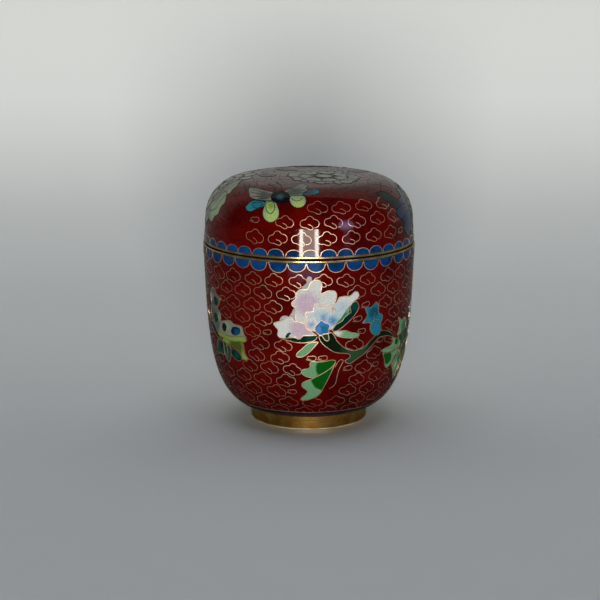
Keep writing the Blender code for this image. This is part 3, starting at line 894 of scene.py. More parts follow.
def linear(code):
    """Turns an sRGB hex colour to the linear colour that Blender works in."""
    value = np.array([int(code[i:i + 2], 16) for i in (1, 3, 5)]) / 255
    value = np.where(value <= 0.04045, value / 12.92, ((value + 0.055) / 1.055) ** 2.4)
    return tuple(value.tolist())


def shade(colour, share=1.0):
    """A colour for a socket, or a darker share of it."""
    return (*(share * part for part in colour), 1.0)


def fill(tree, node, inputs):
    """Sets or links a node's inputs."""
    for name, value in inputs.items():
        if isinstance(value, bpy.types.NodeSocket):
            tree.links.new(value, node.inputs[name])
        else:
            node.inputs[name].default_value = value


def add(tree, kind, output, inputs=None, **settings):
    """Adds a node, makes its settings, fills its inputs, and returns one of its outputs."""
    node = tree.nodes.new(kind)
    for name, value in settings.items():
        setattr(node, name, value)
    fill(tree, node, inputs or {})
    return node.outputs[output]


def new_material(name):
    """A material, its node tree, its Principled shader, and the place on its piece."""
    material = bpy.data.materials.new(name)
    material.use_nodes = True
    tree = material.node_tree
    place = add(tree, "ShaderNodeTexCoord", "Object")
    return material, tree, tree.nodes["Principled BSDF"], place


def finish_glass(tree, shader, place, colour, roughness):
    """Polished vitreous enamel, with the gloss of glass.

    The eye sees dark pinholes 1.6 mm apart, a faint ripple 4 mm long, and patches about 11 mm
    across that are rubbed duller.
    """
    holes = add(tree, "ShaderNodeTexVoronoi", "Distance", {"Vector": place, "Scale": 620.0})
    hole = add(tree, "ShaderNodeMapRange", "Result", {
        "Value": holes, "From Min": 0.10, "From Max": 0.05})
    colour = add(tree, "ShaderNodeMix", 2, {0: hole, 6: colour, 7: shade(linear("#1c0a08"))},
                 data_type="RGBA")
    patch = add(tree, "ShaderNodeTexNoise", "Fac", {"Vector": place, "Scale": 90.0, "Detail": 3.0})
    rubbed = add(tree, "ShaderNodeMapRange", "Result", {
        "Value": patch, "From Min": 0.35, "From Max": 0.7,
        "To Min": roughness, "To Max": roughness + 0.05})
    ripple = add(tree, "ShaderNodeTexNoise", "Fac", {
        "Vector": place, "Scale": 260.0, "Detail": 1.0})
    pits = add(tree, "ShaderNodeMath", 0, {0: ripple, 1: hole}, operation="SUBTRACT")
    bump = add(tree, "ShaderNodeBump", "Normal", {
        "Height": pits, "Distance": 0.00002, "Strength": 0.6})
    fill(tree, shader, {"Base Color": colour, "Roughness": rubbed, "Normal": bump, "IOR": 1.5,
                        "Specular IOR Level": 0.3})


def ground_enamel(name, deep, bright, roughness):
    """Opaque enamel of one colour, fired in layers and stoned flat.

    The eye sees a deep gloss over a colour that clouds slightly, from grains about 1 mm across
    and from patches about 9 mm across.
    """
    material, tree, shader, place = new_material(name)
    grain = add(tree, "ShaderNodeTexNoise", "Fac", {
        "Vector": place, "Scale": 1100.0, "Detail": 4.0, "Roughness": 0.65})
    cloud = add(tree, "ShaderNodeTexNoise", "Fac", {"Vector": place, "Scale": 110.0, "Detail": 2.0})
    both = add(tree, "ShaderNodeMath", 0, {0: grain, 1: cloud}, operation="ADD")
    share = add(tree, "ShaderNodeMapRange", "Result", {
        "Value": both, "From Min": 0.78, "From Max": 1.22})
    colour = add(tree, "ShaderNodeMix", 2, {0: share, 6: shade(deep), 7: shade(bright)},
                 data_type="RGBA")
    finish_glass(tree, shader, place, colour, roughness)
    return material


def picture_enamel(name):
    """Two ground enamels sifted side by side in one cell and fired together.

    The eye sees one colour run into the other in grains about 0.7 mm across, with lighter and
    darker specks about 0.4 mm across, under a gloss.
    """
    material, tree, shader, place = new_material(name)
    rim = add(tree, "ShaderNodeAttribute", "Color", attribute_name="rim_glaze")
    core = add(tree, "ShaderNodeAttribute", "Color", attribute_name="core_glaze")
    share = add(tree, "ShaderNodeAttribute", "Fac", attribute_name="blend")
    grain = add(tree, "ShaderNodeTexNoise", "Fac", {
        "Vector": place, "Scale": 1500.0, "Detail": 5.0, "Roughness": 0.7})
    edge = add(tree, "ShaderNodeMath", 0, {0: grain, 1: share}, operation="ADD")
    sifted = add(tree, "ShaderNodeMapRange", "Result", {
        "Value": edge, "From Min": 0.72, "From Max": 1.28})
    mixed = add(tree, "ShaderNodeMix", 2, {0: sifted, 6: rim, 7: core}, data_type="RGBA")
    speck = add(tree, "ShaderNodeTexNoise", "Fac", {
        "Vector": place, "Scale": 2600.0, "Detail": 2.0})
    speck = add(tree, "ShaderNodeMapRange", "Result", {
        "Value": speck, "From Min": 0.35, "From Max": 0.7})
    specks = add(tree, "ShaderNodeMix", 2, {
        0: speck, 6: (0.78, 0.78, 0.78, 1.0), 7: (1.08, 1.08, 1.08, 1.0)}, data_type="RGBA")
    mixed = add(tree, "ShaderNodeMix", 2, {0: 1.0, 6: mixed, 7: specks}, data_type="RGBA",
                blend_type="MULTIPLY")
    finish_glass(tree, shader, place, mixed, 0.08)
    return material


def gilt(name, worn, bright, roughness, marks, metal):
    """Gilt brass, turned or drawn and then polished.

    The eye sees warm metal with turning marks 0.2 mm apart round it and browner patches about
    4 mm across, and a faint matt bloom from age.
    """
    material, tree, shader, place = new_material(name)
    patch = add(tree, "ShaderNodeTexNoise", "Fac", {"Vector": place, "Scale": 240.0, "Detail": 5.0})
    share = add(tree, "ShaderNodeMapRange", "Result", {
        "Value": patch, "From Min": 0.38, "From Max": 0.66})
    colour = add(tree, "ShaderNodeMix", 2, {0: share, 6: shade(worn), 7: shade(bright)},
                 data_type="RGBA")
    stretch = add(tree, "ShaderNodeMapping", "Vector", {
        "Vector": place, "Scale": (60.0, 60.0, 5200.0)})
    lines = add(tree, "ShaderNodeTexNoise", "Fac", {"Vector": stretch, "Scale": 1.0, "Detail": 2.0})
    both = add(tree, "ShaderNodeMath", 0, {0: patch, 1: lines}, operation="ADD")
    bloom = add(tree, "ShaderNodeMapRange", "Result", {
        "Value": both, "From Min": 0.7, "From Max": 1.3,
        "To Min": roughness + 0.12, "To Max": roughness})
    bump = add(tree, "ShaderNodeBump", "Normal", {
        "Height": lines, "Distance": 0.00001, "Strength": marks})
    fill(tree, shader, {"Base Color": colour, "Roughness": bloom, "Normal": bump,
                        "Metallic": metal})
    return material


def painted_joint_shade(name, colour):
    """Painted shade in the joint between the rings: the eye sees a dull, nearly black line of 0.6 mm
    crumbs.
    """
    material, tree, shader, place = new_material(name)
    crumb = add(tree, "ShaderNodeTexNoise", "Fac", {
        "Vector": place, "Scale": 1800.0, "Detail": 2.0})
    mixed = add(tree, "ShaderNodeMix", 2, {0: crumb, 6: shade(colour, 0.4), 7: shade(colour)},
                data_type="RGBA")
    fill(tree, shader, {"Base Color": mixed, "Roughness": 0.9, "Specular IOR Level": 0.1})
    return material


def matt_card(name, colour):
    """Matt seamless card: the eye sees an even pale sheet with a faint 1 mm tooth.

    Its mirror image in the caddy has painted shade and light: it is darker than the card is seen,
    most of all on its flat part, and lighter where it rises and nearer the middle across. Its back is
    clear, so that it hides nothing from behind.
    """
    material, tree, shader, place = new_material(name)
    tooth = add(tree, "ShaderNodeTexNoise", "Fac", {"Vector": place, "Scale": 900.0, "Detail": 3.0})
    seen = add(tree, "ShaderNodeMix", 2, {0: tooth, 6: shade(colour, 0.97), 7: shade(colour)},
               data_type="RGBA")
    # Painted light in the mirror image: its share rises with height, less so far from the middle
    across = add(tree, "ShaderNodeSeparateXYZ", "X", {0: place})
    aside = add(tree, "ShaderNodeMath", 0, {0: across}, operation="ABSOLUTE")
    reach = add(tree, "ShaderNodeMapRange", "Result", {
        "Value": aside, "From Min": 0.5, "From Max": 1.5, "To Min": 1.0, "To Max": 0.1})
    rise = add(tree, "ShaderNodeMapRange", "Result", {
        "Value": across.node.outputs["Z"], "From Max": 0.07, "To Max": reach})
    painted_mirror_shade = add(tree, "ShaderNodeMix", 2, {
        0: rise, 6: shade(colour, 0.18), 7: shade(colour, 0.56)}, data_type="RGBA")
    glossy = add(tree, "ShaderNodeLightPath", "Is Glossy Ray")
    mixed = add(tree, "ShaderNodeMix", 2, {0: glossy, 6: seen, 7: painted_mirror_shade}, data_type="RGBA")
    fill(tree, shader, {"Base Color": mixed, "Roughness": 0.95, "Specular IOR Level": 0.1})
    back = add(tree, "ShaderNodeNewGeometry", "Backfacing")
    clear = add(tree, "ShaderNodeBsdfTransparent", "BSDF")
    sheet = add(tree, "ShaderNodeMixShader", "Shader", {
        0: back, 1: shader.outputs["BSDF"], 2: clear})
    fill(tree, tree.nodes["Material Output"], {"Surface": sheet})
    return material


OXBLOOD = "Oxblood enamel, stoned and polished"
COBALT = "Cobalt enamel, stoned and polished"
MIDNIGHT = "Midnight enamel, stoned and polished"
COUNTER = "Turquoise counter enamel"
PICTURE = "Picture enamels, sifted and polished"
BRASS = "Gilt brass, turned and polished"
WIRE = "Gilt wire, drawn and polished flush"
SHADED_WIRE = "Gilt wire, drawn and tarnished"
TARNISHED = "Gilt brass, turned and tarnished"
EDGE_GLINT = "Gilt brass, worn pale on an edge"
JOINT_SHADE = "Polish, dried in the joint"
CARD = "Matt seamless card"

# How each finish is made, with which colours, and its roughness, marks and metallic share
FINISHES = {
    OXBLOOD: (ground_enamel, "oxblood cherry", 0.05),
    COBALT: (ground_enamel, "navy cobalt", 0.05),
    MIDNIGHT: (ground_enamel, "ink midnight", 0.12),
    COUNTER: (ground_enamel, "teal turquoise", 0.14),
    PICTURE: (picture_enamel, ""),
    BRASS: (gilt, "brass_worn brass", 0.2, 0.5, 0.86),
    WIRE: (gilt, "wire_worn wire", 0.4, 0.1, 0.96),
    # painted shade: the lid's wires darkened for the dark that they mirror
    SHADED_WIRE: (gilt, "dark_wire_worn dark_wire", 0.5, 0.1, 1.0),
    TARNISHED: (gilt, "tarnish tarnish_bright", 0.24, 0.4, 0.95),
    # a painted glint on the foot ring's lower edge
    EDGE_GLINT: (gilt, "brass edge", 0.4, 0.1, 0.5),
    # painted shade in the joint between the rings
    JOINT_SHADE: (painted_joint_shade, "grime"),
    CARD: (matt_card, "card"),
}


def finish(name):
    """The material of that name, made the first time it is asked for."""
    maker, colours, *values = FINISHES[name]
    return bpy.data.materials.get(name) or maker(name, *map(glaze, colours.split()), *values)


# ---------------------------------------------------------------- sizes and colours

def colour(name, description, code):
    """A colour that a user would change, from its hex code."""
    return FloatVectorProperty(name=name, description=description, subtype="COLOR", size=3,
                               min=0.0, max=1.0, default=linear(code))


def distance(name, description, default, low, high):
    """A length in metres that a user would change."""
    return FloatProperty(name=name, description=description, default=default, min=low, max=high,
                         precision=5, subtype="DISTANCE", unit="LENGTH")


class CaddySizes(bpy.types.PropertyGroup):
    """Sizes of the inlaid work."""

    wire_width: distance("Wire width", "Width of the wires round the cells",
                         0.00026, 0.0001, 0.001)
    lid_wire_width: distance("Lid wire width", "Width of the wires in the pictures on the lid",
                             0.00028, 0.0001, 0.001)
    wire_crown: distance("Wire crown", "How far the wires stand out of the enamel",
                         0.00008, 0.00002, 0.0003)
    cloud_pitch: distance("Cloud pitch", "Distance between two clouds of one row",
                          0.0085, 0.005, 0.02)
    bowl_scallops: IntProperty(
        name="Bowl scallops", description="Scallops round the bowl's mouth", default=35, min=8)
    lid_scallops: IntProperty(
        name="Lid scallops", description="Scallops round the lid's lower edge", default=39, min=8)
    segments: IntProperty(
        name="Segments", description="Facets round each turned piece", default=240, min=32, max=512)


class CaddyColours(bpy.types.PropertyGroup):
    """Colours of the enamels and the metal."""

    oxblood: colour("Oxblood", "Deepest tone of the red ground", "#360000")
    cherry: colour("Cherry", "Brightest tone of the red ground", "#520300")
    navy: colour("Navy", "Deepest tone of the blue scallops, and dark blue cells", "#041a3c")
    cobalt: colour("Cobalt", "Brightest tone of the blue scallops", "#073a6e")
    white: colour("White", "White petals", "#bcbcbb")
    rose: colour("Rose", "Pink-lilac in the petals", "#af9baa")
    blush: colour("Blush", "Pinkish grey edge of petals", "#9c9692")
    sky: colour("Sky", "Blue run into the petals", "#3d71a6")
    frost: colour("Frost", "Blue-grey run into the white petals", "#a3b2bc")
    iris: colour("Iris", "Blue-violet in the peony", "#6478b4")
    putty: colour("Putty", "Pale grey of the butterfly's wing and the lid's petals", "#74746a")
    azure: colour("Azure", "Blue heart of the peony", "#1c6288")
    turquoise: colour("Turquoise", "Bud, rim of the peony's heart, and counter enamel", "#1a6478")
    lagoon: colour("Lagoon", "Blue-green cells", "#0c435b")
    teal: colour("Teal", "Dark blue-green cells, and clouds in the counter enamel", "#053830")
    pine: colour("Pine", "Darkest green of the sepals", "#02221d")
    forest: colour("Forest", "Dark green of the large leaf", "#16402a")
    leaf: colour("Leaf", "Deep green of the leaves", "#064a0c")
    fern: colour("Fern", "Middle green", "#2d6d4b")
    mint: colour("Mint", "Light green", "#628f6b")
    celadon: colour("Celadon", "Pale grey-green", "#7d8c6e")
    lime: colour("Lime", "Yellow-green", "#70863c")
    pistachio: colour("Pistachio", "Brightest yellow-green, in wings and leaves", "#90a662")
    sea: colour("Sea", "Dull blue-green", "#2e6c70")
    olive: colour("Olive", "Brownish green", "#3f4716")
    moss: colour("Moss", "Lighter flecks in the stem", "#253e28")
    bark: colour("Bark", "Darkest tone of the stem", "#09160a")
    mist: colour("Mist", "Grey of the butterflies' wings", "#4d5450")
    midnight: colour("Midnight", "Dark line above the foot", "#241430")
    ink: colour("Ink", "Near-black cells, and clouds in the line above the foot", "#070f13")
    brass: colour("Brass", "Bright gilding on the rings", "#d8c086")
    brass_worn: colour("Worn brass", "Rubbed gilding on the rings", "#a8844a")
    tarnish: colour("Tarnish", "Darkest tone of the foot ring", "#dc9a3c")
    tarnish_bright: colour("Rubbed tarnish", "Brightest tone of the foot ring", "#ffd87c")
    wire: colour("Wire", "Bright gilding on the wires", "#fff0cc")
    wire_worn: colour("Worn wire", "Rubbed gilding on the wires", "#dcae84")
    slate: colour("Slate", "Dark grey-blue of the lid's right flower", "#34424e")
    sage: colour("Sage", "Dark grey-green of the lid's petals", "#4a5444")
    # Painted shade on the lid's wires, in two tones
    dark_wire: colour("Dark wire", "Bare patches of the lid's tarnished wires", "#645240")
    dark_wire_worn: colour("Darkest wire", "Tarnish on the lid's wires", "#241d16")
    # Painted glint: the lit card mirrored on the foot ring's lower edge
    edge: colour("Edge glint", "Painted glint on the lower edge of the foot ring", "#fff4d8")
    # Painted shade: the dark of the gap between the rings
    grime: colour("Grime", "Painted shade in the joint between the rings", "#1c120a")
    card: colour("Card", "Card that the caddy stands on", "#cfd1d0")


class CaddyOperator:
    """What the caddy's operators share."""

    bl_options = {"REGISTER", "UNDO"}


class CADDY_OT_bowl(CaddyOperator, bpy.types.Operator):
    """Turns the enamelled bowl: red outside, turquoise counter enamel inside and under it"""

    bl_idname = "caddy.bowl"
    bl_label = "Enamelled bowl"

    def execute(self, context):
        outside = bowl_outline(96)
        inside = beside(outside, WALL)[::-1]
        inside = inside[(inside[:, 0] > BOWL_BASE[0]) | (inside[:, 1] > BOWL_TURN)]
        floor = BOWL_BASE[1] + WALL
        inner = np.concatenate([[(0.0, floor), (8.0, floor), (15.0, floor)], inside,
                                [(inside[-1, 0], BAND_BOTTOM)]])
        under = np.array([BOWL_FOOT, BOWL_BASE, (9.0, BOWL_BASE[1]), (0.0, BOWL_BASE[1])])
        outside = np.concatenate([inner[-1:], [(BOWL[1].x, BAND_BOTTOM)], outside])
        make_shell("enamel_bowl", "body_bowl", (outside, False, False), (under, True, False),
                   (inner[::-1], True, True))
        return {"FINISHED"}


def make_shell(name, node, *parts):
    """An enamelled shell from its outside and the parts that close it.

    Each part is a profile, whether it ends on the axis, and whether its faces turn over. The
    first is red, and the others have counter enamel.
    """
    patches = Patches()
    for number, (profile, pole, flip) in enumerate(parts):
        revolve(patches, profile, pole=pole, flip=flip, finish=min(number, 1))
    make_piece(name, patches, [finish(OXBLOOD), finish(COUNTER)], [node])


class CADDY_OT_lid(CaddyOperator, bpy.types.Operator):
    """Turns the enamelled lid: red outside and turquoise counter enamel inside"""

    bl_idname = "caddy.lid"
    bl_label = "Enamelled lid"

    def execute(self, context):
        outside = lid_outline(48)
        inner = beside(outside, -WALL)
        inner = np.concatenate([inner[inner[:, 0] > 0.5], [(0.0, outside[-1, 1] - WALL)]])
        make_shell("enamel_lid", "lid_dome", (outside, True, True), (inner, True, False),
                   (np.stack([outside[0], inner[0]]), False, False))
        return {"FINISHED"}


class CADDY_OT_rings(CaddyOperator, bpy.types.Operator):
    """Turns the three brass rings with eased edges: foot, mouth with its neck, and lid"""

    bl_idname = "caddy.rings"
    bl_label = "Brass rings"

    def execute(self, context):
        foot, inside = FOOT[1].x, FOOT[1].x - GAP - FOOT_WALL
        ring = eased([(foot, BOWL_FOOT[1] - 0.1), (foot - 0.3, 0.0), (inside, 0.0),
                      (inside, BOWL_BASE[1] + 0.05)], (0.05, 0.35, 0.2, 0.05))
        # a thin pale ring on the lower edge is a painted glint: the lit card that the edge mirrors
        edge = [(foot - 0.26, 0.42), (foot - 0.27, 0.12), (foot - 0.5, 0.0), (foot - 0.7, 0.3)]
        self.ring("turned_foot", "foot_ring", {TARNISHED: ring, EDGE_GLINT: np.array(edge)})
        band, inside = MOUTH[1].x, NECK - NECK_WALL
        bottom, top = MOUTH[0].z, MOUTH[1].z
        ring = eased([
            (NECK, top), (NECK, BAND_TOP), (band - 0.06, BAND_TOP), (band, BAND_BOTTOM),
            (NECK, BAND_BOTTOM), (NECK, bottom), (inside, bottom), (inside, top)],
            (0.25, 0.1, 0.15, 0.3, 0.1, 0.1, 0.1, 0.25))
        # a ring of painted shade lies in the joint under the lid ring, where the gap is in shade
        joint = [(NECK - 0.1, 0.24), (band - 0.5, 0.2), (band - 0.3, -0.05), (NECK - 0.1, -0.05)]
        joint = np.array(joint) + np.array([0.0, BAND_TOP])
        self.ring("turned_mouth", "mouth_ring", {BRASS: ring, JOINT_SHADE: joint})
        lid, inside = LID_RING[1].x, LID_RING[1].x - LID_RING_WALL
        bottom, top = LID_RING[0].z + GAP, LID_RING[1].z
        ring = eased([(lid - 0.09, top), (lid, bottom), (inside, bottom), (inside, top)],
                     (0.15, 0.4, 0.15, 0.15))
        self.ring("turned_lid_ring", "lid_ring", {BRASS: ring})
        return {"FINISHED"}

    def ring(self, name, node, profiles):
        """A piece made of closed turned profiles, each in its own finish."""
        patches = Patches()
        for number, profile in enumerate(profiles.values()):
            revolve(patches, profile, round_rows=True, finish=number)
        make_piece(name, patches, [finish(metal) for metal in profiles], [node])


class CADDY_OT_borders(CaddyOperator, bpy.types.Operator):
    """Lays cobalt scallops on both sides of the mouth and a midnight line above the foot"""

    bl_idname = "caddy.borders"
    bl_label = "Scalloped borders"

    def execute(self, context):
        sizes = context.scene.caddy_sizes
        chance = np.random.default_rng(SEED)
        borders = {
            "bowl": Border(BOWL_SKIN, sizes.bowl_scallops, up=-1, tall=3.5, edge=BOWL_SKIN.top,
                           start=2.5),
            "lid": Border(LID_SKIN, sizes.lid_scallops, up=1, tall=2.5, edge=0.0, start=0.6)}
        for name, border in borders.items():
            enamel, wires = Patches(), Patches()
            scallops(enamel, wires, border, sizes, chance)
            if name == "bowl":
                foot_line(enamel, wires, border.on, sizes)
            make_piece(name + "_scallops", enamel, [finish(COBALT), finish(MIDNIGHT)])
            make_piece(name + "_scallop_wires", wires, [finish(WIRE)])
        return {"FINISHED"}


# A row of lobes that stand up or down from an edge of a skin, with one of them at start
Border = namedtuple("Border", "on count up tall edge start")
LOBE_LIFT = 0.06         # how far their enamel lies off the ground
FOOT_LINE = 7.4          # width of the line above the foot


def scallops(enamel, wires, border, sizes, chance):
    """Half-round lobes side by side along the edge of a skin, each inside its own wire.

    Across a lobe t runs from -1 to 1, and it stands tall (1 - |t|^2.1)^0.5 off the edge. Its
    enamel fills that height, and its wire follows it.
    """
    on, up = border.on, border.up
    radius = np.interp(border.edge, on.y, on.radius)
    pitch = 2 * math.pi / border.count
    middles = border.start / radius + pitch * (
        np.arange(border.count) + chance.uniform(-0.04, 0.04, border.count))
    t = np.linspace(-1.0, 1.0, 13)
    tall = border.tall * chance.uniform(0.86, 1.0, border.count)
    reach = tall[:, None] * np.sqrt(1 - np.abs(t) ** 2.1)
    width = 0.49 * pitch * chance.uniform(0.97, 1.0, border.count)
    w = np.array([1.0, 1.0, 0.66, 0.33, 0.0])[None, :, None]
    y = border.edge + up * w * reach[:, None, :]
    angle = width[:, None] * t
    x = angle[:, None, :] * np.interp(y, on.y, on.radius)
    lift = np.full((len(w[0]), 1), LOBE_LIFT)
    lift[0] = SKIRT
    enamel.grid(lay(on, x, y, lift, middles[:, None, None]), flip=up > 0)
    path = np.stack([angle, border.edge + up * reach], -1)
    path[..., 0] *= np.interp(path[..., 1], on.y, on.radius)
    lay_wire(wires, on, path, sizes.wire_width / MM, sizes.wire_crown / MM, ROUND_SECTION,
             place=Place(middles[:, None, None]), lift=LOBE_LIFT)


def foot_line(enamel, wires, on, sizes):
    """A midnight line round the bowl above its foot, with a wire along its upper edge.

    It is a band of the skin, swept round by its angle.
    """
    angle = np.linspace(0.0, 2 * math.pi, 120, endpoint=False)
    y = on.y[0] + np.array([0.0, 1.5, 3.0, 4.5, 6.0, FOOT_LINE, FOOT_LINE])[:, None]
    lift = np.full(y.shape, CELL_LIFT)
    lift[-1] = SKIRT
    x = angle * np.interp(y, on.y, on.radius)
    enamel.grid(lay(on, x, y + 0 * x, lift + 0 * x), round_columns=True, flip=True, finish=1)
    side = FINE_SECTION[:, 0] * sizes.wire_width / MM / 2
    x = angle[:, None] * np.interp(y[-1], on.y, on.radius) + 0 * side
    lift = FINE_SECTION[:, 1] * sizes.wire_crown / MM
    wires.grid(lay(on, x, y[-1] + side + 0 * x, lift + 0 * x), round_rows=True, round_columns=True)


class CADDY_OT_clouds(CaddyOperator, bpy.types.Operator):
    """Lays rows of cloud wires where the pictures leave the ground bare, and small loops"""

    bl_idname = "caddy.clouds"
    bl_label = "Cloud wires"

    def execute(self, context):
        sizes = context.scene.caddy_sizes
        chance = np.random.default_rng(SEED)
        for name, (on, rows, pictures) in GROUNDS.items():
            bright, dull = Patches(), Patches()
            for height, start in rows:
                cloud_row(bright, dull, on, height, start, pictures, sizes, chance)
            make_piece(name + "_cloud_wires", bright, [finish(WIRE)])
            # the lid's clouds with painted shade, in darker wire
            if dull.count:
                make_piece(name + "_dull_clouds", dull, [finish(SHADED_WIRE)])
        return {"FINISHED"}


CLOUD_WIRE = 0.78        # a bright cloud wire's width, next to the wires round the cells
LOOP_SIZE = 0.72         # a small loop's size, next to its outline
LOOP_PLACES = (-2.6, 2.6, 0.0)   # where a loop is tried, to the right of its cloud's middle
SHADED_AT = -1.3           # radians round to the middle of the part of the lid whose wires have painted shade
SHADED_REACH = 0.72        # and the cosine of its half width
CROWN_FROM = 20.0        # length up the lid's skin above which its wires have painted shade
NEAR_LINE = 0.8          # a cloud this near a picture's line counts as covered


def cloud_row(bright, dull, on, height, start, pictures, sizes, chance):
    """One row of clouds at a height, evenly round the caddy, each slightly its own way.

    A cloud is left out where a picture covers more than a quarter of it, and one of two small loops
    takes its place if that fits beside the picture. The lid's wires are painted darker as shade on
    its crown and at the left of its front, for the dark that they mirror there.
    """
    radius = np.interp(height, on.y, on.radius)
    count = max(3, round(2 * math.pi * radius / (sizes.cloud_pitch / MM)))
    turn = start / radius + np.arange(count) * 2 * math.pi / count
    turn = turn + chance.uniform(-0.4, 0.4, count) / radius
    # Painted shade: clouds on the lid's crown and at the left of its front get darker wires
    shaded = (np.cos(turn - SHADED_AT) > SHADED_REACH) | (height > CROWN_FROM)
    shaded &= height > 0.0
    width = sizes.wire_width / MM

    def lay_both(paths, chosen):
        """Lays the chosen paths, the shaded ones as darker wires with painted shade."""
        for wires, some, share in ((bright, ~shaded, CLOUD_WIRE), (dull, shaded, 1.0)):
            some = some & chosen
            lay_turned(wires, on, paths[some], turn[some], share * width)

    cloud = evenly(through(CLOUD, 8, False), 28, 1.0)
    paths = jostled(cloud, count, chance) + np.array([0.0, height])
    shown = share_covered(on, paths, turn, pictures) < 0.25
    lay_both(paths, shown)
    loop = evenly(through(TAILED_LOOP, 8, False), 18, 0.8)
    for side in LOOP_PLACES:
        paths = LOOP_SIZE * jostled(loop, count, chance) + np.array([side, height])
        fits = ~shown & (share_covered(on, paths * np.array([1.1, 1.0]), turn, pictures) < 0.01)
        lay_both(paths, fits)
        shown |= fits


def jostled(path, count, chance):
    """Copies of a path, each turned by up to 9 degrees, shifted and scaled a little.

    A turn by a takes (x, y) to (x cos a - y sin a, x sin a + y cos a).
    """
    lean = chance.uniform(-0.15, 0.15, (count, 1))
    x = path[:, 0] * np.cos(lean) - path[:, 1] * np.sin(lean)
    y = path[:, 0] * np.sin(lean) + path[:, 1] * np.cos(lean)
    size = chance.uniform(0.88, 1.0, (count, 1))
    return np.stack([x * size, y * size + chance.uniform(-0.25, 0.25, (count, 1))], -1)


def share_covered(on, paths, turns, pictures):
    """The share of each path's points that lie inside a picture's cells or near its lines.

    Each point is taken to the picture's own flat drawing.
    """
    y = paths[..., 1]
    angle = turns[:, None] + paths[..., 0] / np.interp(y.mean(-1), on.y, on.radius)[:, None]
    covered = np.zeros(y.shape, bool)
    for drawing, place in pictures:
        if place.plan:
            reach = on.top - y
            flat_x, flat_y = reach * np.sin(angle), -reach * np.cos(angle)
        else:
            near = (angle - place.turn + math.pi) % (2 * math.pi) - math.pi
            flat_x, flat_y = place.side * near * np.interp(y, on.y, on.radius), y
        for shape in drawing.cells:
            covered |= inside(outline_of(shape), flat_x, flat_y)
        for points in drawing.lines:
            line = through(points, 4, False)
            away = np.hypot(flat_x[..., None] - line[:, 0], flat_y[..., None] - line[:, 1])
            covered |= away.min(-1) < NEAR_LINE
    return covered.mean(-1)


def lay_turned(wires, on, paths, turns, width):
    """Fine wires along flat paths, each turned round the caddy by its own angle."""
    if not len(paths):
        return
    middle = np.interp(paths[..., 1].mean(-1), on.y, on.radius)
    local = np.interp(paths[..., 1], on.y, on.radius)
    paths = np.stack([paths[..., 0] * local / middle[:, None], paths[..., 1]], -1)
    lay_wire(wires, on, paths, width, CLOUD_LIFT, FINE_SECTION, place=Place(turns[:, None, None]))


# Glazes that another spray has in the place of the first one's
COOL = {"white": "frost", "rose": "sky", "frost": "iris", "iris": "azure", "sky": "azure",
        "azure": "navy", "turquoise": "rose", "lagoon": "blush"}
WARM = {"rose": "celadon", "frost": "rose", "iris": "celadon", "sky": "rose", "azure": "olive"}

BOWL_PICTURES = {
    "peony": (PEONY, Place()),
    "two_tone_leaf": (TWO_TONE_LEAF, Place()),
    "lobed_leaf": (LOBED_LEAF, Place()),
    "butterfly": (FLYING_BUTTERFLY, Place()),
    "side_peony": (PEONY, Place(turn=1.66, palette=COOL)),
    "side_leaf": (TWO_TONE_LEAF, Place(turn=1.66)),
    "back_leaf": (LOBED_LEAF, Place(turn=1.66)),
    "back_peony": (PEONY, Place(turn=3.95, side=-1, palette=WARM)),
}
PLAN = Place(plan=True)
LID_PICTURES = {
    "lid_butterfly": [(RESTING_BUTTERFLY, Place())],
    "lid_back_butterfly": [(RESTING_BUTTERFLY, Place(turn=math.pi))],
    "lid_left_flower": [(LEFT_FLOWER, PLAN)],
    "lid_crown_flower": [(spray, PLAN) for spray in (*LID_SPRAYS, CROWN_FLOWER)],
    "lid_right_flower": [(RIGHT_FLOWER, PLAN)],
}
GROUNDS = {
    "bowl": (BOWL_SKIN, BOWL_CLOUD_ROWS, list(BOWL_PICTURES.values())),
    "lid": (LID_SKIN, LID_CLOUD_ROWS, sum(LID_PICTURES.values(), [])),
}


class CADDY_OT_bowl_pictures(CaddyOperator, bpy.types.Operator):
    """Lays the sprays of peony and leaves and the butterflies round the bowl"""

    bl_idname = "caddy.bowl_pictures"
    bl_label = "Pictures round the bowl"

    def execute(self, context):
        for name, picture in BOWL_PICTURES.items():
            make_picture(name, BOWL_SKIN, [picture], context.scene.caddy_sizes.wire_width / MM)
        return {"FINISHED"}


class CADDY_OT_lid_pictures(CaddyOperator, bpy.types.Operator):
    """Lays the butterflies, the flowers and their leaves on the lid"""

    bl_idname = "caddy.lid_pictures"
    bl_label = "Pictures on the lid"

    def execute(self, context):
        sizes = context.scene.caddy_sizes
        for name, drawings in LID_PICTURES.items():
            # the lid's picture wires are painted darker as shade, for the dark that they mirror
            make_picture(name, LID_SKIN, drawings, sizes.lid_wire_width / MM, SHADED_WIRE, 0.5)
        return {"FINISHED"}


def make_picture(name, on, drawings, width, metal=WIRE, proud=1.0):
    """Two pieces for a picture: the enamel of its cells, and its wires, more or less proud."""
    enamel, wires = Patches(), Patches()
    crown = proud * bpy.context.scene.caddy_sizes.wire_crown / MM
    for drawing, place in drawings:
        lay_picture(enamel, wires, on, drawing, place, width, crown)
    make_piece(name + "_enamel", enamel, [finish(PICTURE)], glazed=True)
    make_piece(name + "_wires", wires, [finish(metal)])


# ---------------------------------------------------------------- stage

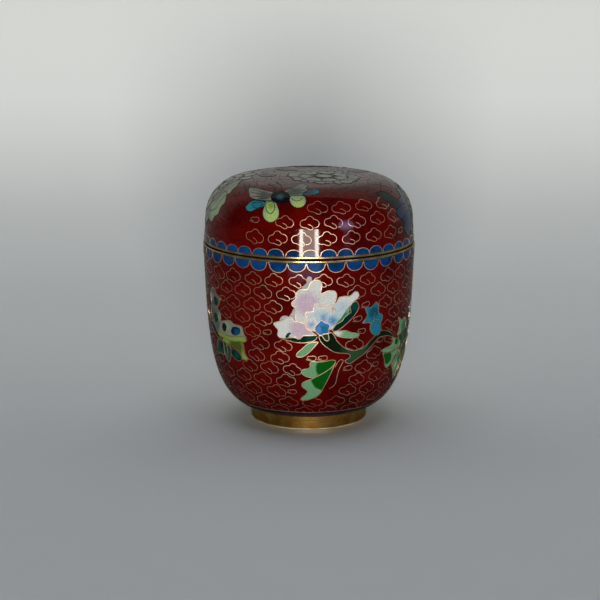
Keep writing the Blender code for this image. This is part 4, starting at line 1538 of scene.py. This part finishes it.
class CaddyStage(bpy.types.PropertyGroup):
    """Camera and lights."""

    lens: FloatProperty(name="Lens", description="Focal length in millimetres on a 36 mm sensor",
                        default=114.5, min=20.0, max=300.0)
    tilt: FloatProperty(name="Tilt", description="How far the camera looks down",
                        default=math.radians(12.59), subtype="ANGLE", unit="ROTATION")
    window: FloatProperty(name="Window", description="Power of the window behind the camera",
                          default=54.0, min=0.0)
    ceiling: FloatProperty(name="Ceiling", description="Power of the light off the ceiling",
                           default=5.2, min=0.0)
    lamp: FloatProperty(name="Lamp", description="Power of the small cool lamp on the right",
                        default=0.21, min=0.0)
    room: FloatProperty(name="Room", description="Strength of the light from the whole room",
                        default=0.03, min=0.0)


CARD_FRONT = 200.0       # from here forward the card throws no shadow and no mirror image
# The card bends up behind the caddy, more and more steeply: (depth, height)
CARD_SWEEP = (
    (-CARD_FRONT, 0), (-60, 0), (15, 0.2), (60, 2.4), (108, 9.8), (165, 24.3), (207, 44.3),
    (225, 60.5), (236, 78), (243, 97), (247, 118), (250, 170), (250, 700), (250, 1500))
# The window's panes: left edge, width and brightness
PANES = {"left": (-0.38, 0.14, 40.0), "middle": (-0.24, 0.47, 8.0), "right": (0.23, 0.14, 40.0)}
PANE_HEIGHT = 0.52
GLOW = (0.14, 0.17)      # size of the table's glow


class CADDY_OT_stage(CaddyOperator, bpy.types.Operator):
    """Sets the seamless card, the window, the small lamp, the room's light and the camera"""

    bl_idname = "caddy.stage"
    bl_label = "Stage"

    def execute(self, context):
        self.sheet("card", through(CARD_SWEEP, 6, False))
        front = self.sheet("card_front", np.array([(-1500.0, 0.0), (-CARD_FRONT, 0.0)]))
        front.visible_shadow = False
        front.visible_glossy = False
        self.lights(context.scene.caddy_stage)
        self.room(context.scene.caddy_stage)
        self.camera(context.scene.caddy_stage)
        context.scene.view_settings.view_transform = "Standard"
        return {"FINISHED"}

    def sheet(self, name, sweep):
        """A sheet of card: the sweep of depth and height, carried across from left to right."""
        across = np.linspace(-2500.0, 2500.0, 21)
        points = MM * np.stack([
            across + 0 * sweep[:, :1], sweep[:, :1] + 0 * across, sweep[:, 1:] + 0 * across], -1)
        patches = Patches()
        patches.grid(points, flip=True)
        sheet = make_object(name, patches, [finish(CARD)])
        return sheet

    def lights(self, stage):
        """The window's light on matt surfaces, what glossy ones mirror, and a small lamp."""
        self.light("window", (0.0, -2.2, 0.055), (0.0, 0.0, 0.055), (0.94, 0.91), stage.window,
                   "#fffff7", glossy=False)
        for name, (left, width, radiance) in PANES.items():
            middle = left + width / 2
            self.light("pane_" + name, (middle, -2.1, 0.0), (middle, 0.0, 0.0),
                       (width, PANE_HEIGHT), math.pi * width * PANE_HEIGHT * radiance, "#fff4ea",
                       diffuse=False)
        self.light("table_glow", (-0.02, -0.31, 0.002), (-0.02, -0.31, 1.0), GLOW,
                   math.pi * GLOW[0] * GLOW[1] * 2.2, "#b4ccff", diffuse=False)
        self.light("ceiling", (-0.05, -0.12, 1.45), (0.0, 0.0, 0.05), (1.2, 0.9), stage.ceiling,
                   "#e4ebff", glossy=False)
        # What the foot ring throws back on the card in front of it
        self.light("foot_glow", (0.001, -0.0226, 0.0036), (0.001, -0.0230, 0.0), (0.014, 0.002),
                   0.00006, "#ffe2b4", glossy=False, shape="ELLIPSE")
        self.light("lamp", (0.92, -1.06, 0.34), (0.0, 0.0, 0.07), (0.44, 0.8), stage.lamp,
                   "#bab0e4", diffuse=False, shape="ELLIPSE", spread=math.radians(32.0))

    def light(self, name, place, target, size, power, code, diffuse=True, glossy=True,
              shape="RECTANGLE", spread=math.pi):
        """A flat light that faces its target and that the camera doesn't see."""
        data = bpy.data.lights.new(name, "AREA")
        data.shape, data.spread = shape, spread
        data.size, data.size_y = size
        data.energy = power
        data.color = linear(code)
        light = bpy.data.objects.new(name, data)
        light.location = place
        light.rotation_euler = (Vector(target) - Vector(place)).to_track_quat("-Z", "Y").to_euler()
        light.visible_camera = False
        light.visible_diffuse, light.visible_glossy = diffuse, glossy
        bpy.context.scene.collection.objects.link(light)

    def room(self, stage):
        """The room's faint light from all sides, with a plain grey where the camera sees it."""
        world = bpy.data.worlds.new("room")
        world.use_nodes = True
        tree = world.node_tree
        room = tree.nodes["Background"]
        fill(tree, room, {"Color": shade(linear("#e6eaee")), "Strength": stage.room})
        seen = add(tree, "ShaderNodeBackground", "Background", {"Color": shade(linear("#8f9699"))})
        camera = add(tree, "ShaderNodeLightPath", "Is Camera Ray")
        both = add(tree, "ShaderNodeMixShader", "Shader", {
            0: camera, 1: room.outputs["Background"], 2: seen})
        fill(tree, tree.nodes["World Output"], {"Surface": both})
        bpy.context.scene.world = world

    def camera(self, stage):
        """A camera in front of the caddy, a little above it, that looks down by the tilt."""
        data = bpy.data.cameras.new("camera")
        data.lens = stage.lens
        data.sensor_width = 36.0
        data.clip_start, data.clip_end = 0.01, 20.0
        camera = bpy.data.objects.new("camera", data)
        camera.location = (-0.0032, -0.6747, 0.1934)
        camera.rotation_euler = (math.pi / 2 - stage.tilt, 0.0, 0.0)
        bpy.context.scene.collection.objects.link(camera)
        bpy.context.scene.camera = camera


OPERATORS = (
    CADDY_OT_stage, CADDY_OT_bowl, CADDY_OT_lid, CADDY_OT_rings, CADDY_OT_borders,
    CADDY_OT_clouds, CADDY_OT_bowl_pictures, CADDY_OT_lid_pictures)


class CADDY_PT_panel(bpy.types.Panel):
    """Panel in the 3D view's sidebar that lists the caddy's operators, sizes and colours"""

    bl_label = "Tea caddy"
    bl_idname = "CADDY_PT_panel"
    bl_space_type = "VIEW_3D"
    bl_region_type = "UI"
    bl_category = "Tea caddy"

    def draw(self, context):
        for operator in OPERATORS:
            self.layout.operator(operator.bl_idname)
        for group in (context.scene.caddy_sizes, context.scene.caddy_colours,
                      context.scene.caddy_stage):
            column = self.layout.column()
            for name in group.__annotations__:
                column.prop(group, name)


GROUPS = {"caddy_sizes": CaddySizes, "caddy_colours": CaddyColours, "caddy_stage": CaddyStage}


def register():
    for group in (*GROUPS.values(), *OPERATORS, CADDY_PT_panel):
        bpy.utils.register_class(group)
    for name, group in GROUPS.items():
        setattr(bpy.types.Scene, name, PointerProperty(type=group))


def unregister():
    for name in GROUPS:
        delattr(bpy.types.Scene, name)
    for group in reversed((*GROUPS.values(), *OPERATORS, CADDY_PT_panel)):
        bpy.utils.unregister_class(group)


def main():
    register()
    for operator in OPERATORS:
        group, name = operator.bl_idname.split(".")
        getattr(getattr(bpy.ops, group), name)()


if __name__ == "__main__":
    main()
